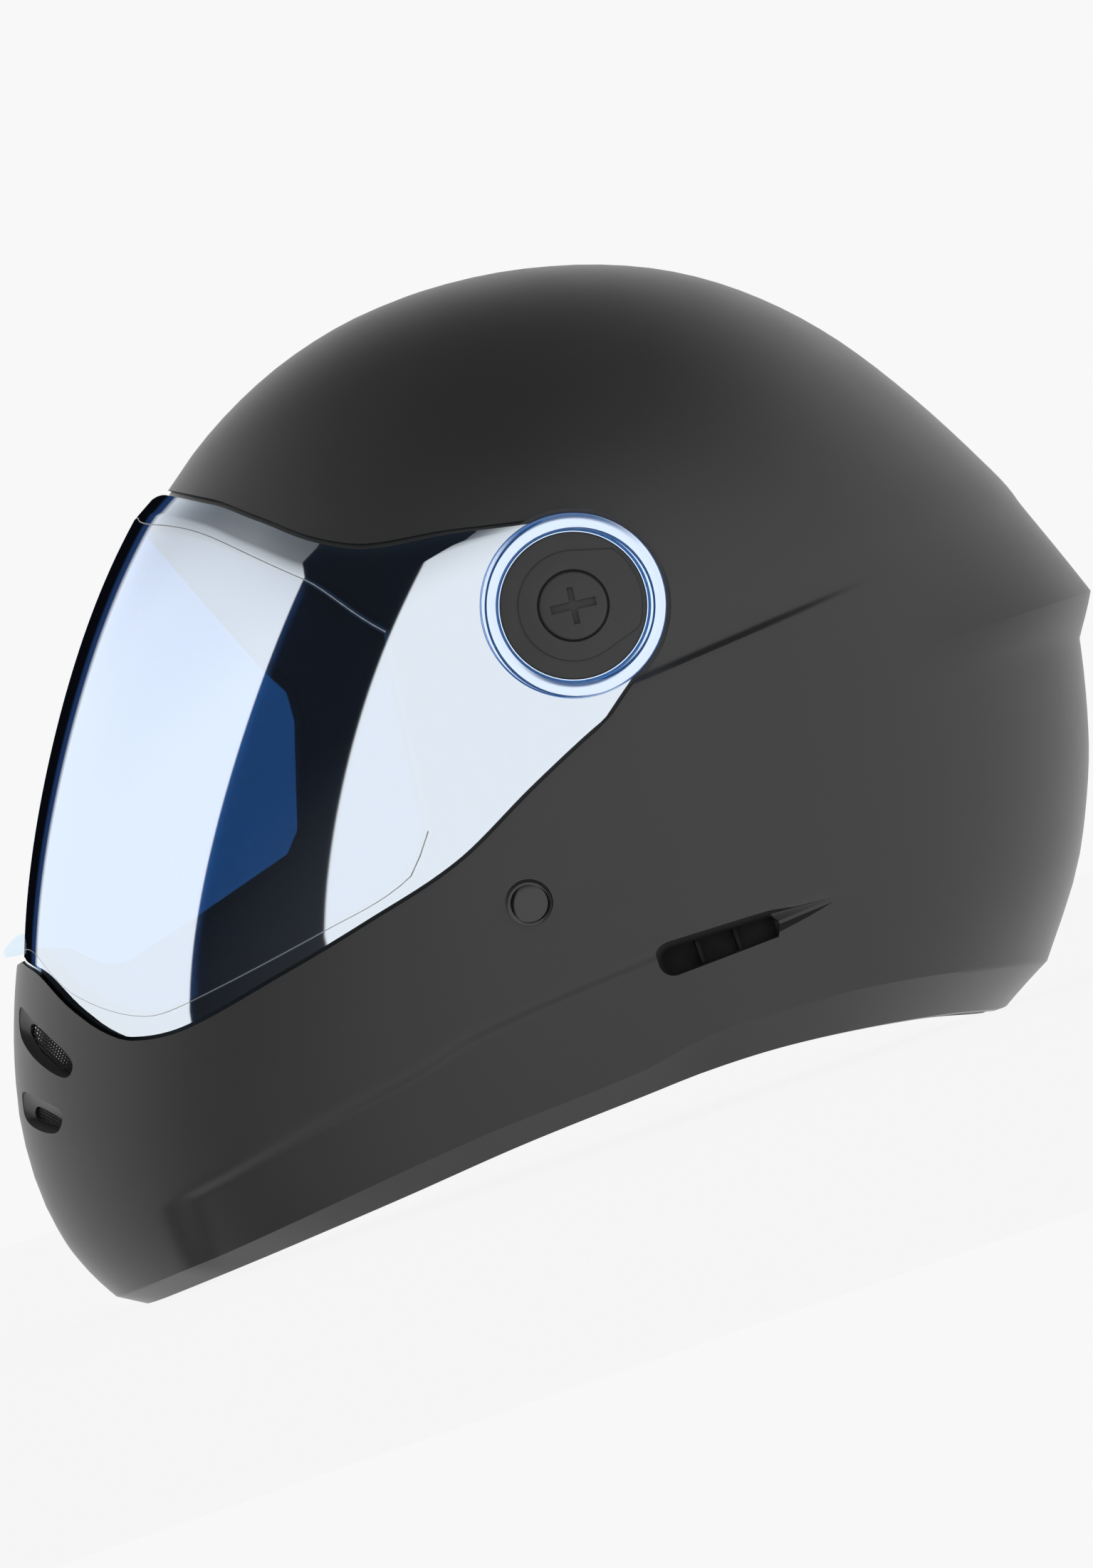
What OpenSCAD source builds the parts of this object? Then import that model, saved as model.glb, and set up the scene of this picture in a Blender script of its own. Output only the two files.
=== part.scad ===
// Full face helmet with a clear visor. It stands on its rim, faces -Y, and +X is the wearer's left.

/* [Shell] */
// Length of the shell from chin to tail
shell_length = 360.4; // [345:0.1:375]
// Width of the shell over the ears
shell_width = 234; // [226:1:242]
// Height of the shell from the rim plane to the crown
shell_height = 263.4; // [254:0.1:272]
// Wall of the moulded shell
shell_wall = 3.2; // [2.6:0.1:4]
// How far the bottom edge turns in
rim_turn = 9; // [6:0.5:11]
// Depth of the recessed panel along the lower side
panel_depth = 2.6; // [1:0.2:3]
// Reach of the tail ridge beyond the smooth back
tail_reach = 6.9; // [3:0.1:9]
// Depth of the valley behind the ear
valley_depth = 2.2; // [0.5:0.1:3]

/* [Visor] */
// Pivot position along Y
pivot_y = 30.3; // [28:0.1:33]
// Pivot height
pivot_z = 156.8; // [154:0.1:160]
// Thickness of the visor sheet
visor_t = 2.3; // [1.8:0.1:2.8]
// Air gap between the visor sheet and the shell under it
visor_gap = 2.9; // [2.8:0.1:3.4]
// Gap between the visor's edge and the step in the shell
edge_gap = 1.2; // [0.8:0.1:2]
// Outer radius of the ear ring
ring_r = 28; // [27:0.1:29]
// Height of the ear ring from its inner face
ring_h = 8; // [6:0.2:9]
// Thickness of the inner lens
lens_t = 1.2; // [1:0.1:1.4]
// Width of the finger tab
tab_w = 30; // [20:1:40]

/* [Pivot] */
// Depth of the ear recess under the widest point of the shell
seat_sink = 4; // [3:0.2:5]
// Radius of the pivot cap
cap_r = 22.1; // [21:0.1:23]
// Thickness of the pivot cap
cap_t = 3.3; // [2.8:0.1:4]
// Radius of the hub that the visor turns on
hub_r = 18.8; // [17:0.1:19.5]
// Running clearance of the visor on its hub
hub_clear = 0.08; // [0.03:0.01:0.1]
// Radius of the screw head
screw_r = 10.2; // [9:0.1:11]
// Radius of the screw shank
shank_r = 3; // [2.5:0.1:3.5]

/* [Liner] */
// Half width of the head cavity
cavity_half = 88; // [84:0.5:92]
// Front of the head cavity at the brow
cavity_front = 101; // [98:0.5:104]
// Back of the head cavity
cavity_back = 112; // [106:0.5:116]
// Shell and liner over the crown of the head
crown_space = 25.4; // [21:0.1:32]
// Thickness of the foam in the chin bar
chin_liner_t = 15; // [10:0.5:18]
// Thickness of the crown pad
crown_pad_t = 9; // [6:0.5:12]
// Thickness of the cheek pads
cheek_pad_t = 22; // [16:0.5:28]
// Thickness of the neck roll
neck_roll_t = 13; // [8:0.5:16]

/* [Strap] */
// Strap rivet position along Y
rivet_y = -11.3; // [-14:0.1:-9]
// Strap rivet height
rivet_z = 77.1; // [75:0.1:79]
// Radius of the rivet head
rivet_r = 6.6; // [5.5:0.1:7.5]
// Width of the strap webbing
strap_w = 24; // [20:0.5:26]
// Thickness of the strap webbing
strap_t = 1.8; // [1.4:0.1:2.2]
// Height of the buckled strap's lowest point
strap_low = 15; // [14:0.5:18]
// Wire radius of the D rings
ring_wire = 1.5; // [1.2:0.1:1.8]

/* [Hidden] */

// The outlines below are drawn for this size and follow the driving sizes
ky = shell_length / 360.4;
kx = shell_width / 234;
kz = shell_height / 263.4;
waist_y = 28;
front_power = 2.2;
rear_power = 1.95;
ridge_z = 110.5 * kz;
widest_z = 150 * kz;
crown_y = 4;

// Height and Y of the centre line, front and back, each for a point of the drawn size
shell_front = [[0, -165], [6.5, -169.5], [15.2, -174.1], [26.1, -177.9], [43, -180.2], [63.2, -178.7],
    [80.7, -174.5], [96.1, -169.7], [111, -163.3], [128, -154.5], [158, -138], [191, -114.5], [212, -96.5],
    [230.8, -73.6], [239.4, -62], [250, -45.8], [257.3, -30.7], [262.4, -16.2], [263.4, crown_y]];
shell_rear = [[0, 124], [8.9, 131.1], [31.2, 148], [49.7, 157.7], [68.9, 165.2], [98.1, 172.4],
    [111, 173.3], [144.3, 168.1], [159.9, 162], [188.3, 146.7], [211.6, 129.5], [230.9, 111.1],
    [244.6, 90.7], [253.3, 69.8], [257.1, 57.4], [261.6, 33.8], [263.4, crown_y]];
visor_front = [[60, -175.5], [76, -172], [98, -165.3], [111, -160.6], [128.2, -154.2], [142.8, -147],
    [158.1, -138.5], [175.3, -127.4], [192, -115], [213.6, -98.3], [224.2, -88], [230.4, -80.5], [245, -61]];
visor_half = [[60, 110.5], [76, 112.4], [90, 114.4], [110, 117.3], [130, 118.8], [157, 119.2], [185, 115.9],
    [200, 110.6], [215, 102], [230, 89.3], [245, 70.5]];

// Y and height of the visor's edges in side view, from the centre to the ear ring
visor_top = [[-81, 230.6], [-75.5, 230.2], [-62.6, 222.2], [-50.5, 212.1], [-36.1, 200.2], [-22.7, 193.6],
    [1.9, 189.4]];
visor_bottom = [[-161, 111.2], [-157, 104.9], [-150, 90.7], [-144.7, 83.6], [-137.5, 78.2], [-121.1, 76.1],
    [-87.5, 82.1], [-59.3, 88.1], [-27.6, 96.2], [0.7, 109.9]];
lens_top = [[-86, 224.7], [-70, 214], [-44.9, 190.1], [-27, 167]];
lens_bottom = [[-161, 114.5], [-157.1, 112.1], [-148.6, 95.2], [-131.8, 83.5], [-117.3, 83.3],
    [-71.6, 90.4], [-44, 97], [-34.5, 108]];
// Y and height of the eye port's edge, from the centre of the brow back and down to the chin
port_edge = [[-205, 224], [-83, 224], [-72.5, 198], [-61.4, 170.7], [-56.2, 161.1], [-56.9, 151], [-67, 119],
    [-73.3, 112], [-108.1, 102.4], [-133.7, 96.2], [-142, 99], [-150, 107], [-158, 110.2], [-205, 110.2]];

// Heights of the rim, the bevel's upper edge and the panel's crease along Y
rim_line = [[-162, 0], [-131, 2.2], [-82, 5.8], [-40.6, 9.2], [1.6, 11.2], [22.7, 12.1], [47.6, 11.5],
    [75, 8.8], [103, 4.4], [122, 0]];
bevel_line = [[-165, 5], [-134, 7.3], [-107.7, 9.9], [-76, 13.2], [-44.4, 16], [4.2, 18.5], [26.8, 22.1],
    [62.2, 21.5], [93.6, 17.3], [131, 8.9]];
crease_line = [[-160, 27], [-139.3, 27.5], [-99.2, 34.5], [-59.4, 40.6], [-40.2, 45.3], [21.7, 50],
    [83.8, 50.7], [150, 50.7]];

// Smooth curve through knots [x, y] that rise in x
function slope(k, i) = let(a = max(i - 1, 0), b = min(i + 1, len(k) - 1)) (k[b][1] - k[a][1]) / (k[b][0] - k[a][0]);
function span_of(k, x) = max([for (j = [0:len(k) - 2]) if (j == 0 || x >= k[j][0]) j]);
function curve(k, x) =
    let(i = span_of(k, x), h = k[i + 1][0] - k[i][0], u = min(1, max(0, (x - k[i][0]) / h)),
        v = 1 - u)
    k[i][1] * (1 + 2 * u) * v * v + k[i + 1][1] * (3 - 2 * u) * u * u
        + slope(k, i) * h * u * v * v - slope(k, i + 1) * h * u * u * v;
function fade(a, b, x) = let(u = min(1, max(0, (x - a) / (b - a)))) u * u * (3 - 2 * u);
function lerp(a, b, u) = a + (b - a) * u;

// Latitude of a height on the dome, below the ridge a straight scale; centre lines are smooth in it
function lat(z) = z <= ridge_z ? (z - ridge_z) / (shell_height - ridge_z) * 57.3
    : asin(min(1, (z - ridge_z) / (shell_height - ridge_z)));
function lat_z(a) = ridge_z + (shell_height - ridge_z) * sin(a);
function by_lat(k) = [for (p = k) [lat(p[0] * kz), p[1] * ky]];
shell_front_lat = by_lat(shell_front);
shell_rear_lat = by_lat(shell_rear);
function half_shell(z) = z < widest_z
    ? shell_width / 2 - 16 * kx * pow((widest_z - z) / widest_z, 1.6)
    : shell_width / 2 * pow(max(0, 1 - pow((z - widest_z) / (shell_height - widest_z), 2.05)), 0.488);

// Semi-axes of the level slice and the Y where it is widest: [front, rear, half width, waist]
function shell_waist(z) = lerp(waist_y, crown_y * ky, fade(45, 90, lat(z)));
function shell_axes(z) = let(w = shell_waist(z))
    [w - curve(shell_front_lat, lat(z)), curve(shell_rear_lat, lat(z)) - w, half_shell(z), w];
function visor_axes(z) = [waist_y - ky * curve(visor_front, z / kz), (168 - waist_y) * ky,
    kx * curve(visor_half, z / kz), waist_y];
// Point of a slice at plan angle t, 0 in front and 180 at the back, set in by d
function on_slice(ax, t, d) =
    let(c = cos(t), s = sin(t), w = sign(s) * (ax[2] - d) * pow(abs(s), 2 / (c > 0 ? front_power : rear_power)))
    c > 0 ? [w, ax[3] - (ax[0] - d) * pow(c, 2 / front_power)]
        : [w, ax[3] + (ax[1] - d) * pow(-c, 2 / rear_power)];
// Plan angle at which a slice reaches y
function angle_at(ax, y) = y <= ax[3] ? acos(pow(min(1, (ax[3] - y) / ax[0]), front_power / 2))
    : 180 - acos(pow(min(1, (y - ax[3]) / ax[1]), rear_power / 2));
// Half width of the smooth shell at a place in side view
function wall_x(y, z) = let(ax = shell_axes(z)) on_slice(ax, angle_at(ax, y), 0)[0];

// Points of the shell, set in by d; the tail's ledge is a negative set-in
function ledge(y, z) = tail_reach * fade(118 * ky, 168 * ky, y)
    * (z > ridge_z ? pow(max(0, 1 - (z - ridge_z) / 33.5), 1.3) : pow(max(0, 1 - (ridge_z - z) / 12.5), 1.1));
function shell_point(z, t, d) =
    let(ax = shell_axes(z), a = max(0, lat(z)), p = on_slice(ax, t, d * cos(a)))
    [p[0], p[1], z - d * sin(a)];
function shell_skin(z, t, d) = let(p = shell_point(z, t, d)) shell_point(z, t, d - ledge(p[1], z));
function visor_point(z, t, d) = let(ax = visor_axes(z), p = on_slice(ax, t, 0),
        e = 0.5, a = on_slice(ax, t + e, 0) - on_slice(ax, t - e, 0),
        up = on_slice(visor_axes(z + 1), t, 0) - on_slice(visor_axes(z - 1), t, 0),
        n = cross([a[0], a[1], 0], [up[0], up[1], 2]))
    [p[0], p[1], z] - d * n / norm(n);

// Rows of the shell, each a height line along Y and a set-in
function rim(y) = kz * curve(rim_line, y / ky);
function bevel(y) = kz * curve(bevel_line, y / ky);
function crease(y) = kz * curve(crease_line, y / ky);
function valley(y) = kz * (129 + max(0, y / ky - 41) * 0.075);
function panel(y) = panel_depth * fade(-145 * ky, -137 * ky, y) * (1 - fade(50 * ky, 92 * ky, y));
function dip(y) = valley_depth * fade(20, 45, y) * (1 - fade(70 * ky, 128 * ky, y));
function row_heights(y) = let(low = bevel(y), mid = crease(y), top = valley(y))
    [rim(y), low, lerp(low, mid, 0.5), mid - 2.4, mid + 1.2, lerp(mid, 66 * kz, 0.5), 66 * kz, 84 * kz,
        ridge_z - 12.4, ridge_z - 5, ridge_z, 120 * kz, top - 0.6, top + 2.2, top + 12];
function row_height(i, y) = row_heights(y)[i];
function row_depth(i, y) = i == 0 ? rim_turn * lerp(0.5, 1, fade(-165 * ky, -120 * ky, y)) : i < 4 ? panel(y)
    : i == 13 ? dip(y) : i == 14 ? dip(y) * 0.3 : 0;
function row_point(i, t, z, d) =
    let(y1 = shell_point(z, t, 0)[1], y2 = shell_point(row_height(i, y1), t, 0)[1])
    shell_skin(row_height(i, y2), t, d + row_depth(i, y2));
dome_lats = [15.5, 20, 26, 32, 39, 46, 53, 60, 67, 74, 80.5, 86];
columns = 48;
function shell_ring(i, d) = [for (j = [0:columns - 1]) row_point(i, turn(j, columns), 60, d)];
function turn(j, n) = j <= n / 2 ? 360 / n * j : 360 / n * j - 360;
function dome_ring(a, d, n) = [for (j = [0:n - 1]) shell_skin(lat_z(a), turn(j, n), d)];

// Closed solid through rings of points, with a point below the first ring and one above the last
module loft(rings, low, high) {
    n = len(rings[0]);
    m = len(rings);
    polyhedron(
        points = concat([for (r = rings) each r], [low, high]),
        faces = concat(
            [for (i = [0:m - 2], j = [0:n - 1])
                let(a = i * n + j, b = i * n + (j + 1) % n, c = b + n, e = a + n)
                each (j < n / 2 ? [[a, c, b], [a, e, c]] : [[a, e, b], [b, e, c]])],
            [for (j = [0:n - 1]) [j, (j + 1) % n, n * m]],
            [for (j = [0:n - 1]) [(m - 1) * n + (j + 1) % n, (m - 1) * n + j, n * m + 1]]));
}

// Closed curved sheet between two grids of points [column][row]
module sheet(outer, inner) {
    nc = len(outer);
    nr = len(outer[0]);
    k = nc * nr;
    polyhedron(
        points = concat([for (c = outer) each c], [for (c = inner) each c]),
        faces = concat(
            [for (i = [0:nc - 2], j = [0:nr - 2])
                let(a = i * nr + j, b = a + nr, c = b + 1, e = a + 1)
                each (i < (nc - 1) / 2 ? [[a, c, b], [a, e, c], [a + k, b + k, c + k], [a + k, c + k, e + k]]
                    : [[a, e, b], [b, e, c], [a + k, b + k, e + k], [b + k, c + k, e + k]])],
            [for (i = [0:nc - 2]) let(a = i * nr, b = a + nr) each [[a, b, b + k], [a, b + k, a + k]]],
            [for (i = [0:nc - 2]) let(a = i * nr + nr - 1, b = a + nr) each [[a, b + k, b], [a, a + k, b + k]]],
            [for (j = [0:nr - 2]) let(a = j, e = j + 1) each [[a, e + k, e], [a, a + k, e + k]]],
            [for (j = [0:nr - 2]) let(a = (nc - 1) * nr + j, e = a + 1) each [[a, e, e + k], [a, e + k, a + k]]]));
}

// Closed loop of square section: rings of four points
module hoop(rings) {
    n = len(rings);
    polyhedron(
        points = [for (r = rings) each r],
        faces = [for (i = [0:n - 1], j = [0:3])
            let(a = i * 4 + j, b = i * 4 + (j + 1) % 4, c = ((i + 1) % n) * 4 + (j + 1) % 4, e = ((i + 1) % n) * 4 + j)
            each [[a, b, c], [a, c, e]]]);
}

// The smooth hollow of the shell at set-in d, closed below the rim when deep is set
module shell_body() {
    low = concat([for (j = [0:columns - 1]) row_point(0, turn(j, columns), 60, 14)]);
    loft(concat([low], [for (i = [0:14]) shell_ring(i, 0)], [for (a = dome_lats) dome_ring(a, 0, columns)]),
        [0, -15, 6], [0, crown_y * ky, shell_height]);
}
inner_lats = [16, 27, 38, 49, 60, 71, 82];
inner_columns = 32;
hollow_floor = -30;
module shell_hollow(d) {
    n = inner_columns;
    function ring(z, e) = [for (j = [0:n - 1]) shell_point(z, turn(j, n), d + e)];
    function under(z, e) = [for (p = ring(4, e)) [p[0], p[1], z]];
    loft(concat([under(hollow_floor, rim_turn)],
            [[for (j = [0:n - 1]) row_point(0, turn(j, n), 60, d) - [0, 0, 0.6]]],
            [for (i = [2:4]) [for (j = [0:n - 1]) row_point(i, turn(j, n), 60, d)]],
            [for (z = [78, 104, 130]) ring(z * kz, 0)],
            [for (a = inner_lats) [for (j = [0:n - 1]) shell_point(lat_z(a), turn(j, n), d)]]),
        [0, -15, hollow_floor], [0, crown_y * ky, shell_height - d]);
}

// Visor outline in side view; edge knots become [plan angle, height] on the visor's surface
function to_tz(k) = [for (p = k) let(z = p[1] * kz) [angle_at(visor_axes(z), p[0] * ky), z]];
arc_r = ring_r - 0.6;
tangent_top = 96.7;
tangent_bottom = 293.3;
function ear_point(a) = let(y = pivot_y + arc_r * cos(a), z = pivot_z + arc_r * sin(a))
    [angle_at(visor_axes(z), y), z];
top_tz = concat(to_tz(visor_top), [ear_point(tangent_top)]);
bottom_tz = concat(to_tz(visor_bottom), [ear_point(tangent_bottom)]);
function edge(k, s) = let(t = s * k[len(k) - 1][0]) [t, curve(k, t)];
function side(p) = let(q = on_slice(visor_axes(p[1]), p[0], 0)) [q[1], p[1]];
visor_columns = 20;
visor_outline = concat([for (i = [0:visor_columns]) side(edge(top_tz, i / visor_columns))],
    [for (a = [75:-20:-45]) [pivot_y + ring_r * cos(a), pivot_z + ring_r * sin(a)]],
    [for (i = [visor_columns:-1:0]) side(edge(bottom_tz, i / visor_columns))], [[-230, 105 * kz], [-230, 232 * kz]]);

// All that lies deeper than d under the visor's outer face
module visor_core(d) {
    n = 36;
    levels = [60, 78, 96, 114, 132, 150, 168, 186, 204, 220, 236];
    loft([for (z = levels) [for (j = [0:n - 1]) visor_point(z * kz, turn(j, n), d)]],
        [0, 0, 50 * kz], [0, 0, 245 * kz]);
}
// Room for the visor within its outline, down to the air gap under it
module visor_room(extra) {
    difference() {
        rotate([90, 0, 90]) linear_extrude(400, center = true)
            offset(delta = edge_gap + extra) polygon(visor_outline);
        visor_core(visor_t + visor_gap + extra);
    }
}
module port_prism(extra) {
    rotate([90, 0, 90]) linear_extrude(400, center = true)
        offset(delta = extra) polygon([for (p = port_edge) [p[0] * ky, p[1] * kz]]);
}

// Ear recess and its seat
seat_x = half_shell(pivot_z) - seat_sink;
recess_r = ring_r + edge_gap;
module at_ear(s, x) {
    translate([s * x, pivot_y, pivot_z]) rotate([0, s * 90, 0]) children();
}
module both() {
    for (s = [-1, 1])
        scale([s, 1, 1]) children();
}
nut_r = 4.8;

// Vents: places in side view, found on the shell's front
upper_slot = [[-167.6 * ky, 92 * kz], [-158.8 * ky, 76 * kz]];
lower_slot = [[-174.6 * ky, 67.5 * kz], [-167 * ky, 60.3 * kz]];
function slot_end(p) = [wall_x(p[0], p[1]), p[0], p[1]];
function slot_mid(q) = (slot_end(q[0]) + slot_end(q[1])) / 2;
function slot_turn(q) = let(v = slot_end(q[1]) - slot_end(q[0])) atan2(v[1], v[0]);
function slot_tilt(q) = let(v = slot_end(q[1]) - slot_end(q[0])) atan2(v[2], norm([v[0], v[1]]));
function slot_long(q) = norm(slot_end(q[1]) - slot_end(q[0]));
slot_h = 5.4;
module slot_frame(q) {
    translate(slot_mid(q)) rotate([0, 0, slot_turn(q)]) rotate([0, -slot_tilt(q), 0]) rotate([90, 0, 0]) children();
}
module chin_slot(q) {
    slot_frame(q) {
        hull()
            for (e = [-1, 1])
                translate([e * (slot_long(q) - slot_h) / 2, 0, -12]) cylinder(h = 24, d = slot_h, $fn = 12);
        hull()
            for (e = [-1, 1])
                translate([e * slot_long(q) / 2, 0, -1.2]) cylinder(h = 12, d1 = slot_h + 1, d2 = slot_h + 13, $fn = 12);
    }
}
side_slot = [[20 * ky, 46.6 * kz], [56 * ky, 46.6 * kz]];
side_slot_h = 7.8;
side_slot_end_h = 5.8;
module side_slot_shape(grow) {
    hull() {
        translate(side_slot[0] + [side_slot_h / 2, 0]) circle(d = side_slot_h + grow, $fn = 24);
        translate(side_slot[1] - [side_slot_end_h / 2, 0]) square(side_slot_end_h + grow, center = true);
    }
}
side_slot_x = wall_x(38 * ky, 46.6 * kz);
module side_recess() {
    tip = [76 * ky, 48.6 * kz];
    floor_x = side_slot_x - panel_depth - 1.4;
    hull() {
        translate([floor_x, side_slot[0][0] + 5, side_slot[0][1]])
            rotate([0, 90, 0]) cylinder(h = 10, d1 = side_slot_h + 1, d2 = side_slot_h + 8, $fn = 12);
        translate([floor_x, side_slot[1][0], side_slot[1][1]])
            rotate([0, 90, 0]) cylinder(h = 10, d1 = side_slot_end_h + 1, d2 = side_slot_end_h + 8, $fn = 12);
        translate([wall_x(tip[0], tip[1]) - panel(tip[0]) - 0.1, tip[0], tip[1]])
            rotate([0, 90, 0]) cylinder(h = 8, d1 = 1, d2 = 5, $fn = 8);
    }
}

module outer_shell() {
    color([0.17, 0.17, 0.175]) difference() {
        union() {
            difference() {
                shell_body();
                visor_room(0);
            }
            both() at_ear(1, seat_x - 6) cylinder(h = 6, r = recess_r, $fn = 48);
        }
        difference() {
            shell_hollow(shell_wall);
            visor_room(shell_wall);
            both() at_ear(1, seat_x - shell_wall) cylinder(h = 30, r = recess_r + shell_wall, $fn = 32);
        }
        both() at_ear(1, seat_x) cylinder(h = 30, r = recess_r, $fn = 48);
        both() at_ear(1, seat_x - 20) cylinder(h = 30, r = nut_r + 0.2, $fn = 24);
        both() translate([0, rivet_y, rivet_z]) rotate([0, 90, 0]) {
            cylinder(h = 200, r = rivet_shank_r + 0.15, $fn = 16);
            translate([0, 0, rivet_x]) cylinder(h = 10, r = rivet_r + 0.3, $fn = 24);
        }
        port_prism(0);
        both() {
            chin_slot(upper_slot);
            chin_slot(lower_slot);
            side_recess();
            rotate([90, 0, 90]) linear_extrude(200) side_slot_shape(0);
        }
    }
}

// Head cavity of the liner
function cavity_axes(z, d) = [waist_y + cavity_front - d, cavity_back - waist_y - d, cavity_half - d, waist_y];
cavity_top = shell_height - crown_space;
cavity_mid = widest_z;
head_y = 6;
function cavity_z(a, d) = cavity_mid + (cavity_top - d - cavity_mid) * sin(a);
function cavity_ring(a, d, n) = let(u = max(0, cos(a)), z = cavity_z(a, d))
    [for (j = [0:n - 1]) let(p = on_slice(cavity_axes(z, d), turn(j, n), 0))
        [p[0] * u, head_y + (p[1] - head_y) * u, z]];
cavity_lats = [0, 15, 30, 45, 60, 74, 84];
module cavity() {
    n = 32;
    base = cavity_ring(0, 0, n);
    loft(concat([[for (p = base) [p[0], p[1], -5]]], [for (a = cavity_lats) cavity_ring(a, 0, n)]),
        [0, 0, -5], [0, head_y, cavity_top]);
}
liner_gap = 0.4;
liner_floor = 23 * kz;
brow_y = -60 * ky;
brow_z = 120 * kz;
notch_w = strap_w + 22;
notch_corner = 5;
channel_r = 6;
module impact_liner() {
    color([0.1, 0.1, 0.1]) difference() {
        shell_hollow(shell_wall + liner_gap);
        visor_room(shell_wall + liner_gap);
        both() at_ear(1, seat_x - shell_wall - liner_gap)
            cylinder(h = 30, r = recess_r + shell_wall + liner_gap, $fn = 28);
        both() at_ear(1, seat_x - 14) cylinder(h = 30, r = 12, $fn = 20);
        cavity();
        port_prism(1);
        translate([-shell_width, -shell_length, hollow_floor - 1]) {
            cube([2 * shell_width, shell_length + brow_y, brow_z - hollow_floor + 1]);
            cube([2 * shell_width, 2 * shell_length, liner_floor - hollow_floor + 1]);
        }
        // Slots for the strap, open below
        both() hull()
            for (e = [-1, 1], z = [0, rivet_z + 12])
                translate([60, rivet_y + e * (notch_w / 2 - notch_corner), z])
                    rotate([0, 90, 0]) cylinder(h = 80, r = notch_corner, $fn = 8);
        // Pockets for the side vents
        both() hull()
            for (y = [18 * ky, 60 * ky])
                translate([side_slot_x - 16, y, 46.6 * kz]) rotate([0, 90, 0]) cylinder(h = 40, r = 7, $fn = 8);
        // Air channels over the head
        for (x = [-30, 0, 30], k = [0:2])
            hull()
                for (a = [k, k + 1])
                    let(g = -52 + a * 36, h = abs(x) / 6, reach = cavity_back - waist_y)
                    translate([x, head_y + reach * sin(g), cavity_z(90 - abs(g), h)])
                        sphere(r = channel_r, $fn = 6);
    }
}

// Foam that lines the chin bar up to the lower vents in front and higher at the sides
module chin_bar_liner() {
    low = rim_turn + 2;
    color([0.12, 0.12, 0.12]) difference() {
        shell_hollow(shell_wall + liner_gap);
        shell_hollow(shell_wall + liner_gap + chin_liner_t);
        rotate([90, 0, 90]) linear_extrude(300, center = true) difference() {
            square(800, center = true);
            polygon([for (p = [[-200, low], [-130, low + 2], [-70, low + 8], [-70, 69], [-145, 69], [-160, 54],
                [-200, 54]]) [p[0] * ky, p[1] * kz]]);
        }
    }
}

// Rubber lip inside the eye port's edge, just under the inner lens
lens_sink = 0.7;
seal_w = 3;
seal_depth = 5;
seal_lid = visor_t + lens_sink + lens_t + 0.9;
module eye_port_seal() {
    color([0.05, 0.05, 0.05]) difference() {
        intersection() {
            visor_core(seal_lid);
            difference() {
                port_prism(-0.2);
                port_prism(-seal_w);
            }
        }
        visor_core(seal_lid + seal_depth);
    }
}

module neck_edge_trim() {
    n = 40;
    trim_t = 4.6;
    trim_h = 8;
    function at(j, d, h) = let(p = row_point(0, turn(j, n), 60, shell_wall + d)) [p[0], p[1], p[2] + h];
    color([0.06, 0.06, 0.06]) hoop([for (j = [0:n - 1])
        [at(j, 0.5, 0.4), at(j, 0.5 + trim_t, 0.4), at(j, 0.5 + trim_t, trim_h), at(j, 0.5, trim_h)]]);
}

// Black mesh behind a chin slot: a plate with rows of round holes
module chin_mesh(s, q) {
    plate = [slot_long(q) + 2, slot_h + 5];
    pitch = 2.2;
    color([0.03, 0.03, 0.03]) scale([s, 1, 1]) slot_frame(q)
        translate([0, 0, -shell_wall - 4.6]) linear_extrude(1) difference() {
            square(plate, center = true);
            for (i = [-floor(plate[0] / 2 / pitch) + 1:floor(plate[0] / 2 / pitch) - 1], j = [-1:1])
                translate([(i + (j == 0 ? 0 : 0.5)) * pitch, j * pitch * 0.87])
                    circle(d = pitch * 0.72, $fn = 6);
        }
}

// Moulded insert that closes the side slot inside: a pan with two louvres
module side_vent(s) {
    pan_h = 7;
    mid_y = (side_slot[0][0] + side_slot[1][0]) / 2;
    lean = atan((wall_x(side_slot[0][0], side_slot[0][1]) - wall_x(side_slot[1][0], side_slot[1][1]))
        / (side_slot[1][0] - side_slot[0][0]));
    color([0.04, 0.04, 0.04]) scale([s, 1, 1])
        translate([side_slot_x - panel_depth - shell_wall - 1.8 - pan_h, mid_y, 0])
        rotate([0, 0, lean]) translate([0, -mid_y, 0]) rotate([90, 0, 90]) {
            linear_extrude(1.5) side_slot_shape(3);
            linear_extrude(pan_h) difference() {
                side_slot_shape(3);
                side_slot_shape(0.6);
            }
            for (u = [0.33, 0.66])
                translate([lerp(side_slot[0][0], side_slot[1][0], u), side_slot[0][1], 0])
                    linear_extrude(pan_h - 2) square([1.2, side_slot_h - 1], center = true);
        }
}

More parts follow.
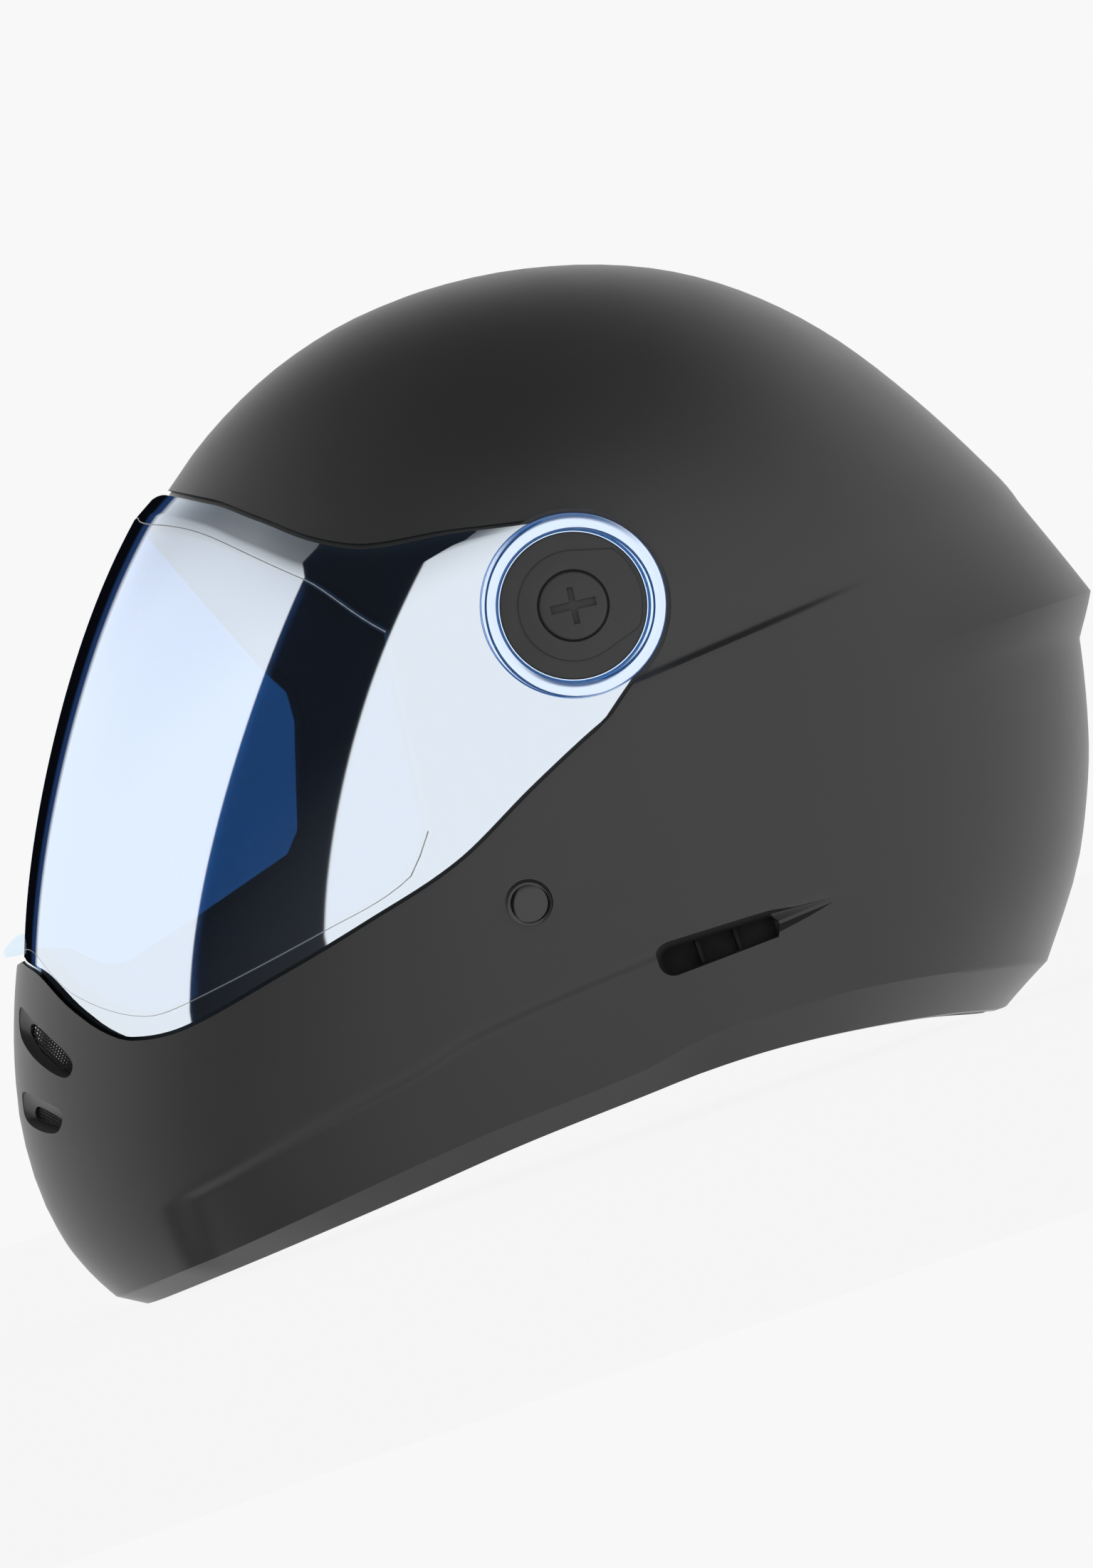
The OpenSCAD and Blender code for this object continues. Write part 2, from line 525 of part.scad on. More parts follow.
// Soft pads, just clear of the liner
soft_gap = 0.8;
module crown_pad() {
    n = 32;
    lats = [45, 60, 74, 84];
    function ring(a, d) = cavity_ring(a, d, n);
    color([0.2, 0.2, 0.22]) difference() {
        loft([for (a = lats) ring(a, soft_gap)], [0, head_y, cavity_z(40, 0)], [0, head_y, cavity_top - soft_gap]);
        loft(concat([[for (p = ring(45, crown_pad_t)) [p[0] * 1.02, p[1] * 1.02, p[2] - 15]]],
                [for (a = lats) ring(a, crown_pad_t)]),
            [0, head_y, cavity_z(20, 0)], [0, head_y, cavity_top - crown_pad_t]);
    }
}
module pad_sheet(t0, t1, z0, z1, thick, columns_n) {
    function at(t, z, d) = let(p = on_slice(cavity_axes(z, d), t, 0)) [p[0], p[1], z];
    rows = [0, 0.08, 0.3, 0.7, 0.92, 1];
    function grid(deep) = [for (i = [0:columns_n]) let(u = i / columns_n, t = lerp(t0, t1, u)) [for (v = rows)
        let(rim_u = min(fade(0, 0.16, u), fade(0, 0.16, 1 - u)),
            rim_v = min(fade(-0.02, 0.25, v), fade(-0.02, 0.25, 1 - v)))
        at(t, lerp(z0, z1, v), soft_gap + (deep ? thick * (0.35 + 0.65 * rim_u * rim_v) : 0))]];
    sheet(grid(false), grid(true));
}
module neck_roll() {
    color([0.2, 0.2, 0.22]) pad_sheet(112.5, 247.5, 30, 76, neck_roll_t, 12);
}
module cheek_pad(s) {
    color([0.2, 0.2, 0.22]) if (s > 0) pad_sheet(46.5, 64.5, 46, 118, cheek_pad_t, 8);
    else pad_sheet(-64.5, -46.5, 46, 118, cheek_pad_t, 8);
}

// Pivot parts, from the shell outwards; each module is drawn on the ear axis with z outwards
lip_x = 0.5;
lip_t = 1.8;
washer_t = 0.3;
hub_h = lip_x + lip_t + 0.05 + washer_t + 0.05;
module pivot_hub(s) {
    color([0.12, 0.12, 0.12]) at_ear(s, seat_x) difference() {
        cylinder(h = hub_h, r = hub_r, $fn = 96);
        translate([0, 0, -1]) cylinder(h = 10, r = shank_r + 0.2, $fn = 48);
    }
}
nut_in = 1.7;
module pivot_nut(s) {
    color([0.75, 0.6, 0.3]) at_ear(s, seat_x - shell_wall - 2 * nut_in - 0.1) difference() {
        union() {
            cylinder(h = nut_in, r = 9, $fn = 6);
            cylinder(h = shell_wall + 2 * nut_in, r = nut_r, $fn = 48);
        }
        translate([0, 0, -1]) cylinder(h = 20, r = shank_r + 0.05, $fn = 48);
    }
}
module friction_washer(s) {
    color([0.6, 0.6, 0.6]) at_ear(s, seat_x + lip_x + lip_t + 0.05) difference() {
        cylinder(h = washer_t, r = cap_r - 0.3, $fn = 96);
        translate([0, 0, -1]) cylinder(h = 3, r = hub_r + 0.3, $fn = 96);
    }
}
drop_r = 16.6;
drop_taper = 16.5;
head_drop = 1.9;
module pivot_cap(s) {
    color([0.16, 0.16, 0.165]) at_ear(s, seat_x + hub_h) difference() {
        union() {
            rotate_extrude($fn = 96)
                polygon([[0, 0], [cap_r, 0], [cap_r, cap_t - 0.8], [cap_r - 0.8, cap_t], [0, cap_t]]);
            translate([0, 0, cap_t - 0.1]) linear_extrude(0.8) intersection() {
                circle(r = cap_r - 1.4, $fn = 96);
                // A raised drop: round in front, with two flanks that draw together aft
                union() {
                    circle(r = drop_r, $fn = 96);
                    rotate(90) polygon([for (e = [[1, 0], [1, 1], [-1, 1], [-1, 0]])
                        drop_r * [sin(drop_taper), e[0] * cos(drop_taper)]
                            + e[1] * drop_r * [cos(drop_taper), -e[0] * sin(drop_taper)]]);
                }
            }
        }
        translate([0, 0, cap_t - head_drop]) cylinder(h = 10, r = screw_r + 0.4, $fn = 96);
        translate([0, 0, -1]) cylinder(h = 10, r = shank_r + 0.2, $fn = 48);
    }
}
head_t = 2.5;
module pivot_screw(s) {
    color([0.14, 0.14, 0.145]) at_ear(s, seat_x + hub_h + cap_t - head_drop) difference() {
        union() {
            cylinder(h = head_t, r = screw_r, $fn = 96);
            translate([0, 0, -hub_h - cap_t + head_drop - shell_wall - nut_in])
                cylinder(h = hub_h + cap_t - head_drop + shell_wall + nut_in + 0.5, r = shank_r, $fn = 48);
        }
        // Cross slot, turned as it was left when the screw was tightened
        translate([0, 0, head_t - 1.4]) rotate(-6.5 * s) {
            translate([-6.9, -1.3, 0]) cube([13.8, 2.6, 3]);
            translate([-0.93, -5.6, 0]) cube([1.86, 11.2, 3]);
        }
    }
}
module visor_ring(s) {
    wall_in = cap_r + 0.3;
    round_r = (ring_r - wall_in) / 2;
    color([0.62, 0.72, 0.82, 0.6]) at_ear(s, seat_x + lip_x) rotate_extrude($fn = 96) {
        translate([hub_r + hub_clear, 0]) square([ring_r - hub_r - hub_clear, lip_t]);
        translate([wall_in, 0]) square([ring_r - wall_in, ring_h - round_r]);
        translate([ring_r - round_r, ring_h - round_r]) circle(r = round_r, $fn = 48);
    }
}

// Strap rivet, outer head and shank
rivet_shank_r = 2.4;
rivet_x = wall_x(rivet_y, rivet_z) - 0.7;
hanger_t = 1.5;
hanger_x = rivet_x - shell_wall - 2.4 - hanger_t;
module strap_rivet(s) {
    color([0.03, 0.03, 0.03]) translate([s * (rivet_x + 0.05), rivet_y, rivet_z]) rotate([0, s * 90, 0]) {
        rotate_extrude($fn = 64)
            polygon([[0, 0], [rivet_r, 0], [rivet_r, 1.2], [rivet_r - 0.4, 1.6], [rivet_r - 0.8, 1.2],
                [rivet_r - 1.2, 1.3], [3, 1.9], [0, 2]]);
        translate([0, 0, hanger_x - rivet_x - 1.4]) cylinder(h = rivet_x - hanger_x + 1.5, r = rivet_shank_r, $fn = 48);
        translate([0, 0, hanger_x - rivet_x - 1.8]) cylinder(h = 1.5, r = 5, $fn = 48);
        // Shoulder that keeps the hanger clear of the shell
        translate([0, 0, hanger_x - rivet_x + hanger_t + 0.1]) cylinder(h = 2, r = 4.2, $fn = 48);
    }
}

// Visor sheet and inner lens between their edges; the ear end follows the ring
function bend(s) = pow(s, 6);
function visor_col(s, nr, d) = let(lo = edge(bottom_tz, abs(s)), hi = edge(top_tz, abs(s)),
        lo1 = edge(bottom_tz, 1), hi1 = edge(top_tz, 1))
    [for (r = [0:nr]) let(u = r / nr,
        p = lerp(lo, hi, u) + bend(abs(s)) * (ear_point(lerp(tangent_bottom, tangent_top, u)) - lerp(lo1, hi1, u)))
        visor_point(p[1], sign(s) * p[0], d)];
module visor_shield() {
    n = visor_columns;
    nr = 8;
    color([0.75, 0.85, 0.95, 0.4]) sheet([for (i = [-n:n]) visor_col(i / n, nr, 0)],
        [for (i = [-n:n]) visor_col(i / n, nr, visor_t)]);
}
lens_top_tz = to_tz(lens_top);
lens_bottom_tz = to_tz(lens_bottom);
function lens_col(s, nr, d) = let(lo = edge(lens_bottom_tz, abs(s)), hi = edge(lens_top_tz, abs(s)))
    [for (r = [0:nr]) let(p = lerp(lo, hi, r / nr)) visor_point(p[1], sign(s) * p[0], d)];
module anti_fog_lens() {
    n = 14;
    nr = 6;
    color([0.8, 0.9, 1, 0.25]) sheet([for (i = [-n:n]) lens_col(i / n, nr, visor_t + lens_sink)],
        [for (i = [-n:n]) lens_col(i / n, nr, visor_t + lens_sink + lens_t)]);
}
bead_w = 1.4;
module lens_bead() {
    n = 14;
    function rim_tz(e) = let(b = lens_bottom_tz, u = lens_top_tz) concat(
        [for (i = [-n:n]) let(p = edge(b, abs(i) / n)) [sign(i) * (p[0] + e * 0.6 * abs(i) / n), p[1] - e]],
        [for (i = [n:-1:-n]) let(p = edge(u, abs(i) / n)) [sign(i) * (p[0] + e * 0.6 * abs(i) / n), p[1] + e]]);
    a = rim_tz(0.3);
    b = rim_tz(0.3 + bead_w);
    color([0.7, 0.7, 0.7]) hoop([for (i = [0:len(a) - 1])
        [visor_point(b[i][1], b[i][0], visor_t + 0.35), visor_point(a[i][1], a[i][0], visor_t + 0.35),
            visor_point(a[i][1], a[i][0], visor_t + 1.7), visor_point(b[i][1], b[i][0], visor_t + 1.7)]]);
}
module visor_tab() {
    color([0.75, 0.85, 0.95, 0.5]) intersection() {
        rotate([90, 0, 90]) linear_extrude(tab_w, center = true)
            polygon([[-167.4 * ky, 113 * kz], [-167.2 * ky, 114.8 * kz], [-160.8 * ky, 118.4 * kz],
                [-158.6 * ky, 118 * kz], [-158.6 * ky, 111.6 * kz]]);
        translate([0, -152 * ky + 0.6 * tab_w - tab_w / 2, 100]) cylinder(h = 30, r = 0.6 * tab_w + 0.4, $fn = 96);
    }
}

// Chin strap: a buckled loop that hangs from the two rivets
strap_x = hanger_x - 0.2 - strap_t / 2;
strap_top = rivet_z - 8;
strap_path = [[strap_x, strap_top], [strap_x - 0.8, 60], [strap_x - 9, 43], [strap_x - 25, 29],
    [strap_x - 50, 20], [strap_x - 78, strap_low + 1.2], [0, strap_low]];
function path_normal(k, i) = let(a = k[max(0, i - 1)], b = k[min(len(k) - 1, i + 1)], v = (b - a) / norm(b - a))
    [-v[1], v[0]];
function smooth_path(k) = [for (u = [0:1 / 24:1.0001]) let(n = len(k) - 1, i = min(n - 1, floor(u * n)), f = u * n - i,
        p0 = k[max(0, i - 1)], p1 = k[i], p2 = k[i + 1], p3 = k[min(n, i + 2)])
    0.5 * (2 * p1 + f * (p2 - p0) + f * f * (2 * p0 - 5 * p1 + 4 * p2 - p3) + f * f * f * (3 * p1 - p0 - 3 * p2 + p3))];
half_strap = smooth_path(strap_path);
function stretch(k, a, b) = [for (i = [a:b]) k[i]];
module ribbon_shape(k, lift, thick) {
    n = len(k) - 1;
    polygon(concat([for (i = [0:n]) k[i] - (lift - thick / 2) * path_normal(k, i)],
        [for (i = [n:-1:0]) k[i] - (lift + thick / 2) * path_normal(k, i)]));
}
module woven(w) {
    translate([0, rivet_y + w / 2, 0]) rotate([90, 0, 0]) linear_extrude(w) children();
}
module ribbon(k, lift, thick, w) {
    woven(w) ribbon_shape(k, lift, thick);
}

// The buckle: bars of both D rings lie in the loop of the short half, the far ring is tipped up
bar_a = [24, strap_low + strap_t / 2 + 0.2 + ring_wire];
bar_b = bar_a + [3.2, 1.9];
tip_b = 25;
d_r = strap_w / 2 + 3;
arc_b = bar_b + d_r * [-cos(tip_b), sin(tip_b)];
// The long half runs under the first arc, round the second and back between them to its stud
turn_r = ring_wire + strap_t / 2 + 0.4;
stud_x = 27;
function on_strap(x) = [x, lookup(x, half_strap) + strap_t + 0.2];
long_path = concat(half_strap,
    [for (p = concat([[6, strap_low - 0.3], [11, strap_low - 0.1], [14.6, strap_low + 2.4], [16.6, strap_low + 6]],
        [for (a = [-25:22.5:200]) arc_b + turn_r * [cos(a), sin(a)]],
        [[8.8, bar_a[1] + 5], [5.6, bar_a[1] + 3.2], [2.4, bar_a[1] + 1.4]])) [-p[0], p[1]]],
    [for (x = [2, 10, 18, 26, 34]) on_strap(x)]);
module strap_long() {
    color([0.06, 0.06, 0.06]) scale([-1, 1, 1]) ribbon(long_path, 0, strap_t, strap_w);
}
module loop_shape(r) {
    hull()
        for (p = [bar_a, bar_b])
            translate(p) circle(r = r, $fn = 32);
}
module strap_short() {
    in_r = ring_wire + 0.15;
    color([0.06, 0.06, 0.06]) woven(strap_w) difference() {
        union() {
            ribbon_shape(concat(stretch(half_strap, 0, 18), [bar_b + [5, -0.9], bar_b]), 0, strap_t);
            loop_shape(in_r + strap_t);
        }
        loop_shape(in_r);
    }
}
module strap_hanger(s) {
    eye = 7.5;
    color([0.5, 0.5, 0.52]) translate([s * hanger_x, rivet_y, rivet_z])
        rotate([0, 90, 0]) translate([0, 0, s > 0 ? 0 : -hanger_t]) linear_extrude(hanger_t) difference() {
            hull() {
                circle(r = eye, $fn = 48);
                translate([10, 0]) square([8, strap_w - 2], center = true);
            }
            circle(r = rivet_shank_r + 0.2, $fn = 48);
        }
}
corner_r = 4;
module d_rings() {
    color([0.7, 0.7, 0.72])
        for (q = [[bar_a, 0], [bar_b, tip_b]])
            translate([q[0][0], rivet_y, q[0][1]]) rotate([0, q[1], 0]) {
                rotate([90, 0, 0]) cylinder(h = 2 * d_r, r = ring_wire, center = true, $fn = 32);
                translate([-d_r, 0, 0]) rotate([90, 0, 0])
                    cylinder(h = 2 * (d_r - corner_r), r = ring_wire, center = true, $fn = 32);
                for (e = [-1, 1]) {
                    translate([0, e * d_r, 0]) rotate([0, -90, 0])
                        cylinder(h = d_r - corner_r, r = ring_wire, $fn = 32);
                    translate([0, e * d_r, 0]) sphere(r = ring_wire, $fn = 32);
                    translate([corner_r - d_r, e * (d_r - corner_r), 0]) rotate(e > 0 ? 90 : 180)
                        rotate_extrude(angle = 90, $fn = 48) translate([corner_r, 0])
                            circle(r = ring_wire, $fn = 32);
                }
            }
}
module strap_pad(s) {
    color([0.2, 0.2, 0.22]) scale([s, 1, 1])
        ribbon(stretch(half_strap, 10, 17), strap_t / 2 + 0.3 + 2.6, 5.2, strap_w + 6);
}
// Press stud through both layers of the long half
module strap_stud() {
    z = lookup(stud_x, half_strap);
    color([0.3, 0.3, 0.32]) translate([-stud_x, rivet_y, z]) {
        translate([0, 0, -strap_t / 2 - 1.2]) cylinder(h = 1.2, r = 5, $fn = 48);
        translate([0, 0, -strap_t / 2 - 0.2]) cylinder(h = 2 * strap_t + 0.8, r = 2, $fn = 48);
        translate([0, 0, 1.5 * strap_t + 0.3]) cylinder(h = 2, r = 6, $fn = 48);
    }
}

outer_shell();
impact_liner();
chin_bar_liner();
eye_port_seal();
neck_edge_trim();
chin_mesh(1, upper_slot);  // chin_mesh_upper_left
chin_mesh(-1, upper_slot);  // chin_mesh_upper_right
chin_mesh(1, lower_slot);  // chin_mesh_lower_left
chin_mesh(-1, lower_slot);  // chin_mesh_lower_right
side_vent(1);  // side_vent_left
side_vent(-1);  // side_vent_right
crown_pad();
neck_roll();
cheek_pad(1);  // cheek_pad_left
cheek_pad(-1);  // cheek_pad_right
pivot_hub(1);  // pivot_hub_left
pivot_hub(-1);  // pivot_hub_right
pivot_nut(1);  // pivot_nut_left
pivot_nut(-1);  // pivot_nut_right
friction_washer(1);  // friction_washer_left
friction_washer(-1);  // friction_washer_right
pivot_cap(1);  // pivot_cap_left
pivot_cap(-1);  // pivot_cap_right
pivot_screw(1);  // pivot_screw_left
pivot_screw(-1);  // pivot_screw_right
strap_rivet(1);  // strap_rivet_left
strap_rivet(-1);  // strap_rivet_right
visor_shield();
visor_ring(1);  // visor_ring_left
visor_ring(-1);  // visor_ring_right
visor_tab();
anti_fog_lens();
lens_bead();
strap_hanger(1);  // strap_hanger_left
strap_hanger(-1);  // strap_hanger_right
strap_long();
strap_short();
d_rings();
strap_pad(1);  // strap_pad_left
strap_pad(-1);  // strap_pad_right
strap_stud();
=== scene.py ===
import math

import bpy
import bmesh
from mathutils import Matrix, Vector


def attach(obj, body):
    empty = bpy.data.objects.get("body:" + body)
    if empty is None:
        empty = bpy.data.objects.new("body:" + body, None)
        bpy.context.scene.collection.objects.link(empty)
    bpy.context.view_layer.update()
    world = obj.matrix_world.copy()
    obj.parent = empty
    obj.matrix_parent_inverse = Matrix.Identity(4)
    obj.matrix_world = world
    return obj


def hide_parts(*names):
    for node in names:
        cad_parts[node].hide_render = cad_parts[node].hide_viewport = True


# The camera stands far off on the wearer's left with a long lens, so that the helmet is seen
# square from the side, and it is rolled so that the chin points down and forward.
camera_data = bpy.data.cameras.new("side_camera")
camera = bpy.data.objects.new("side_camera", camera_data)
bpy.context.scene.collection.objects.link(camera)
bpy.context.scene.camera = camera
camera_distance = 7.92
frame_height = 0.4752
camera_data.sensor_width = 36
camera_data.lens = camera_data.sensor_width * camera_distance / frame_height
camera_data.clip_start = 0.1
camera_data.clip_end = 60
roll_cos, roll_sin = 0.94489, 0.32736
camera_turn = Matrix(((0, 0, 1), (roll_cos, roll_sin, 0), (-roll_sin, roll_cos, 0)))
aim_y, aim_z = 0.0053, 0.1091
camera.matrix_world = Matrix.Translation((camera_distance, aim_y, aim_z)) @ camera_turn.to_4x4()

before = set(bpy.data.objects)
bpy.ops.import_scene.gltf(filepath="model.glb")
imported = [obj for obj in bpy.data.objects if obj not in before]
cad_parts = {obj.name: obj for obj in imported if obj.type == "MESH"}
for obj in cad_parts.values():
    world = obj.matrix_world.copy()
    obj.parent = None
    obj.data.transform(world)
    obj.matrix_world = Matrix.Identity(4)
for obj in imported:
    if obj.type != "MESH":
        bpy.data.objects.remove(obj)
bpy.ops.object.select_all(action="DESELECT")
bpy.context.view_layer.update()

# The outer shell is one moulding in satin black: a dome with an aero tail, a recessed panel along
# the lower side and a bottom edge that turns in. Its skin is swept from the centre line's profile.
MM = 0.001
reach_across = 200
shell_height = 262.6
ridge_z = 110.5
waist_y = 28.0
crown_y = 16.0
shell_wall = 3.2
widest_z = 150
widest_half = 117
front_power = 2.2
rear_power = 1.95
tail_reach = 6.9
panel_depth = 2.6
dip_depth = 2.2
rim_turn_in = 9
front_profile = [(0, -165), (6.5, -169.5), (15.2, -174.1), (26.1, -177.9), (43, -180.2), (63.2, -179),
    (80.7, -175), (96.1, -169.9), (111, -163.6), (128, -154.6), (158, -139), (191, -116), (212, -98),
    (230.8, -73.6), (239.4, -62), (245.4, -52), (251.3, -40), (255.9, -28), (259.2, -16), (261.4, -4),
    (262.4, 8), (262.6, crown_y)]
rear_profile = [(0, 124), (8.9, 131.1), (31.2, 148), (49.7, 157.7), (68.9, 165.2), (98.1, 172.4),
    (111, 173.3), (144.3, 168.1), (159.9, 161.3), (188.3, 145.6), (211.6, 129.3), (230.9, 110.1),
    (244.5, 90.2), (253.4, 69.8), (257.1, 57.4), (260.1, 44), (262.1, 28), (262.6, crown_y)]
rim_line = [(-162, 0), (-131, 2.2), (-82, 5.8), (-40.6, 9.2), (1.6, 11.2), (22.7, 12.1), (47.6, 11.5),
    (75, 8.8), (103, 4.4), (122, 0)]
bevel_line = [(-165, 5), (-134, 7.3), (-107.7, 9.9), (-76, 13.2), (-44.4, 16), (4.2, 18.5), (26.8, 22.1),
    (62.2, 21.5), (93.6, 17.3), (131, 8.9)]
crease_line = [(-160, 27), (-139.3, 27.5), (-99.2, 34.5), (-59.4, 40.6), (-40.2, 45.3), (21.7, 50),
    (83.8, 50.7), (150, 50.7)]


def curve(knots, x):
    """A smooth curve through the knots (x, y)."""
    last = len(knots) - 1
    i = 0
    while i < last - 1 and x >= knots[i + 1][0]:
        i += 1

    def slope(j):
        a, b = knots[max(j - 1, 0)], knots[min(j + 1, last)]
        return (b[1] - a[1]) / (b[0] - a[0])

    step = knots[i + 1][0] - knots[i][0]
    u = min(1, max(0, (x - knots[i][0]) / step))
    v = 1 - u
    return (knots[i][1] * (1 + 2 * u) * v * v + knots[i + 1][1] * (3 - 2 * u) * u * u
        + slope(i) * step * u * v * v - slope(i + 1) * step * u * u * v)


def fade(a, b, x):
    """0 before a and 1 after b, with a smooth rise between them."""
    u = min(1, max(0, (x - a) / (b - a)))
    return u * u * (3 - 2 * u)


def between(a, b, u):
    return a + (b - a) * u


def latitude(z):
    """Degrees above the ridge as seen from the middle of the dome, a straight scale below it."""
    u = (z - ridge_z) / (shell_height - ridge_z)
    return u * 57.3 if z <= ridge_z else math.degrees(math.asin(min(1, u)))


front_by_latitude = [(latitude(z), y) for z, y in front_profile]
rear_by_latitude = [(latitude(z), y) for z, y in rear_profile]


def half_width(z):
    """The shell's half width, which narrows by 16 mm at the bottom and closes at the crown."""
    if z < widest_z:
        return widest_half - 16 * ((widest_z - z) / widest_z) ** 1.6
    return widest_half * max(0, 1 - ((z - widest_z) / (shell_height - widest_z)) ** 2.05) ** 0.488


def shell_axes(z):
    """Front, rear and half width of a level slice of the shell, and the y where it is widest."""
    a = latitude(z)
    waist = between(waist_y, crown_y, fade(45, 90, a))
    return waist - curve(front_by_latitude, a), curve(rear_by_latitude, a) - waist, half_width(z), waist


def on_slice(axes, t, inset=0.0):
    """x and y of a slice at the plan angle t, 0 in front and 180 behind."""
    front, rear, half, waist = axes
    c, s = math.cos(math.radians(t)), math.sin(math.radians(t))
    x = math.copysign(max(0, half - inset) * abs(s) ** (2 / (front_power if c > 0 else rear_power)), s)
    if c > 0:
        return x, waist - max(0, front - inset) * c ** (2 / front_power)
    return x, waist + max(0, rear - inset) * (-c) ** (2 / rear_power)


def angle_at(axes, y):
    """The plan angle at which a slice reaches y."""
    front, rear, half, waist = axes
    if y <= waist:
        return math.degrees(math.acos(min(1, (waist - y) / front) ** (front_power / 2)))
    return 180 - math.degrees(math.acos(min(1, (y - waist) / rear) ** (rear_power / 2)))


def shell_point(z, t, inset=0.0):
    """A point of the smooth shell at a height and plan angle, inset square to the dome."""
    a = math.radians(max(0, latitude(z)))
    x, y = on_slice(shell_axes(z), t, inset * math.cos(a))
    return Vector((x, y, z - inset * math.sin(a)))


def side_x(y, z):
    """Half width of the smooth shell at a place in side view."""
    axes = shell_axes(z)
    return on_slice(axes, angle_at(axes, y))[0]


def tail(y, z):
    """How far the aero tail stands out from the smooth back, sharpest along its ridge."""
    reach = tail_reach * fade(118, 168, y)
    if z > ridge_z:
        return reach * max(0, 1 - (z - ridge_z) / 33.5) ** 1.3
    return reach * max(0, 1 - (ridge_z - z) / 12.5) ** 1.1


def panel(y):
    """Depth of the recessed panel along the lower side."""
    return panel_depth * fade(-145, -137, y) * (1 - fade(50, 92, y))


def dip(y):
    """Depth of the crease that runs aft from the ear."""
    return dip_depth * fade(20, 45, y) * (1 - fade(70, 128, y))


def turn_in(y):
    """How far the bottom edge turns in, least at the chin."""
    return rim_turn_in * between(0.5, 1, fade(-165, -120, y))


def valley_z(y):
    """Height of the crease that runs aft from the ear."""
    return 129 + max(0, y - 41) * 0.075


def shell_rows(y):
    """(height, inset) of every row of the skin at y, from the rim to the crown."""
    rim, low, mid, top = curve(rim_line, y), curve(bevel_line, y), curve(crease_line, y), valley_z(y)
    rows = [(between(rim, low, u), between(turn_in(y), panel(y), u))
        for u in (0, 0.04, 0.25, 0.5, 0.75, 0.94, 1)]
    rows += [(between(low, mid - 2.6, u), panel(y)) for u in (0.03, 0.12, 0.3, 0.5, 0.7, 0.86, 0.95)]
    rows += [(mid - 2.6 + 3.9 * u, panel(y) * (1 - fade(0, 1, u)))
        for u in (0, 0.12, 0.28, 0.46, 0.64, 0.82, 1)]
    rows += [(between(mid + 1.3, 76, u), 0) for u in (0.06, 0.2, 0.4, 0.6, 0.8, 1)]
    # Closer rows where the tail's ridge and the crease behind the ear turn sharply
    rows += [(z, 0) for z in (82, 88, 93.5, 98, 100.5, 103, 105, 107, 108.5, 109.6, 110.2, ridge_z, 110.9)]
    rows += [(between(111.8, top - 0.8, u), 0) for u in (0, 0.1, 0.25, 0.4, 0.55, 0.7, 0.85, 1)]
    rows += [(top + rise, dip(y) * depth) for rise, depth in ((-0.3, 0.05), (0.3, 0.28), (0.9, 0.62),
        (1.5, 0.88), (2.2, 1), (3.4, 0.98), (5.2, 0.82), (7.6, 0.58), (10.4, 0.32), (13.6, 0.12), (17, 0.02))]
    start = latitude(top + 20)
    for k in range(27):
        a = between(start, 88.6, k / 26)
        rows.append((ridge_z + (shell_height - ridge_z) * math.sin(math.radians(a)), 0))
    return rows


def row_place(row, t):
    """Height and y of a row of the skin at a plan angle, found in three steps."""
    y = shell_point(60, t)[1]
    for step in range(3):
        z = shell_rows(y)[row][0]
        y = shell_point(z, t)[1]
    return z, y


def skin_point(row, t):
    """A point of the outer skin, with its panel, creases and tail."""
    z, inset = shell_rows(row_place(row, t)[1])[row]
    p = shell_point(z, t, inset)
    return shell_point(z, t, inset - tail(p[1], z))


def point_normals_out(obj):
    """Turns all the faces of a closed piece outwards."""
    shape = bmesh.new()
    shape.from_mesh(obj.data)
    bmesh.ops.recalc_face_normals(shape, faces=shape.faces)
    shape.to_mesh(obj.data)
    shape.free()


def mesh_object(name, points, faces):
    """An object made of points in mm, with its faces turned outwards."""
    mesh = bpy.data.meshes.new(name)
    mesh.from_pydata([tuple(c * MM for c in p) for p in points], [], faces)
    mesh.validate()
    obj = bpy.data.objects.new(name, mesh)
    bpy.context.scene.collection.objects.link(obj)
    point_normals_out(obj)
    return obj


def closed_mesh(name, rings, low, high):
    """A closed skin through rings of points, drawn together to the points low and high."""
    n = len(rings[0])
    points = [p for ring in rings for p in ring] + [low, high]
    faces = [(i * n + j, i * n + (j + 1) % n, (i + 1) * n + (j + 1) % n, (i + 1) * n + j)
        for i in range(len(rings) - 1) for j in range(n)]
    low_tip, high_tip, last = len(points) - 2, len(points) - 1, (len(rings) - 1) * n
    faces += [((j + 1) % n, j, low_tip) for j in range(n)]
    faces += [(last + j, last + (j + 1) % n, high_tip) for j in range(n)]
    return mesh_object(name, points, faces)


def make_active(obj):
    """Selects one object alone, for the operators that work on the selection."""
    bpy.ops.object.select_all(action="DESELECT")
    obj.select_set(True)
    bpy.context.view_layer.objects.active = obj


def apply_all(obj):
    make_active(obj)
    for modifier in list(obj.modifiers):
        bpy.ops.object.modifier_apply(modifier=modifier.name)


def cut(obj, tool, operation="DIFFERENCE"):
    """Carves tool out of obj, or joins it, and clears tool away."""
    modifier = obj.modifiers.new("cut", "BOOLEAN")
    modifier.operation = operation
    modifier.solver = "MANIFOLD"
    modifier.object = tool
    apply_all(obj)
    bpy.data.objects.remove(tool, do_unlink=True)


def capped_bar(name, outline, x0, x1):
    """A straight bar along x whose outline is given in y and z, in mm."""
    n = len(outline)
    points = [(x, y, z) for x in (x0, x1) for y, z in outline]
    faces = [(j, (j + 1) % n, n + (j + 1) % n, n + j) for j in range(n)]
    return mesh_object(name, points, faces + [tuple(range(n)), tuple(range(n, 2 * n))])


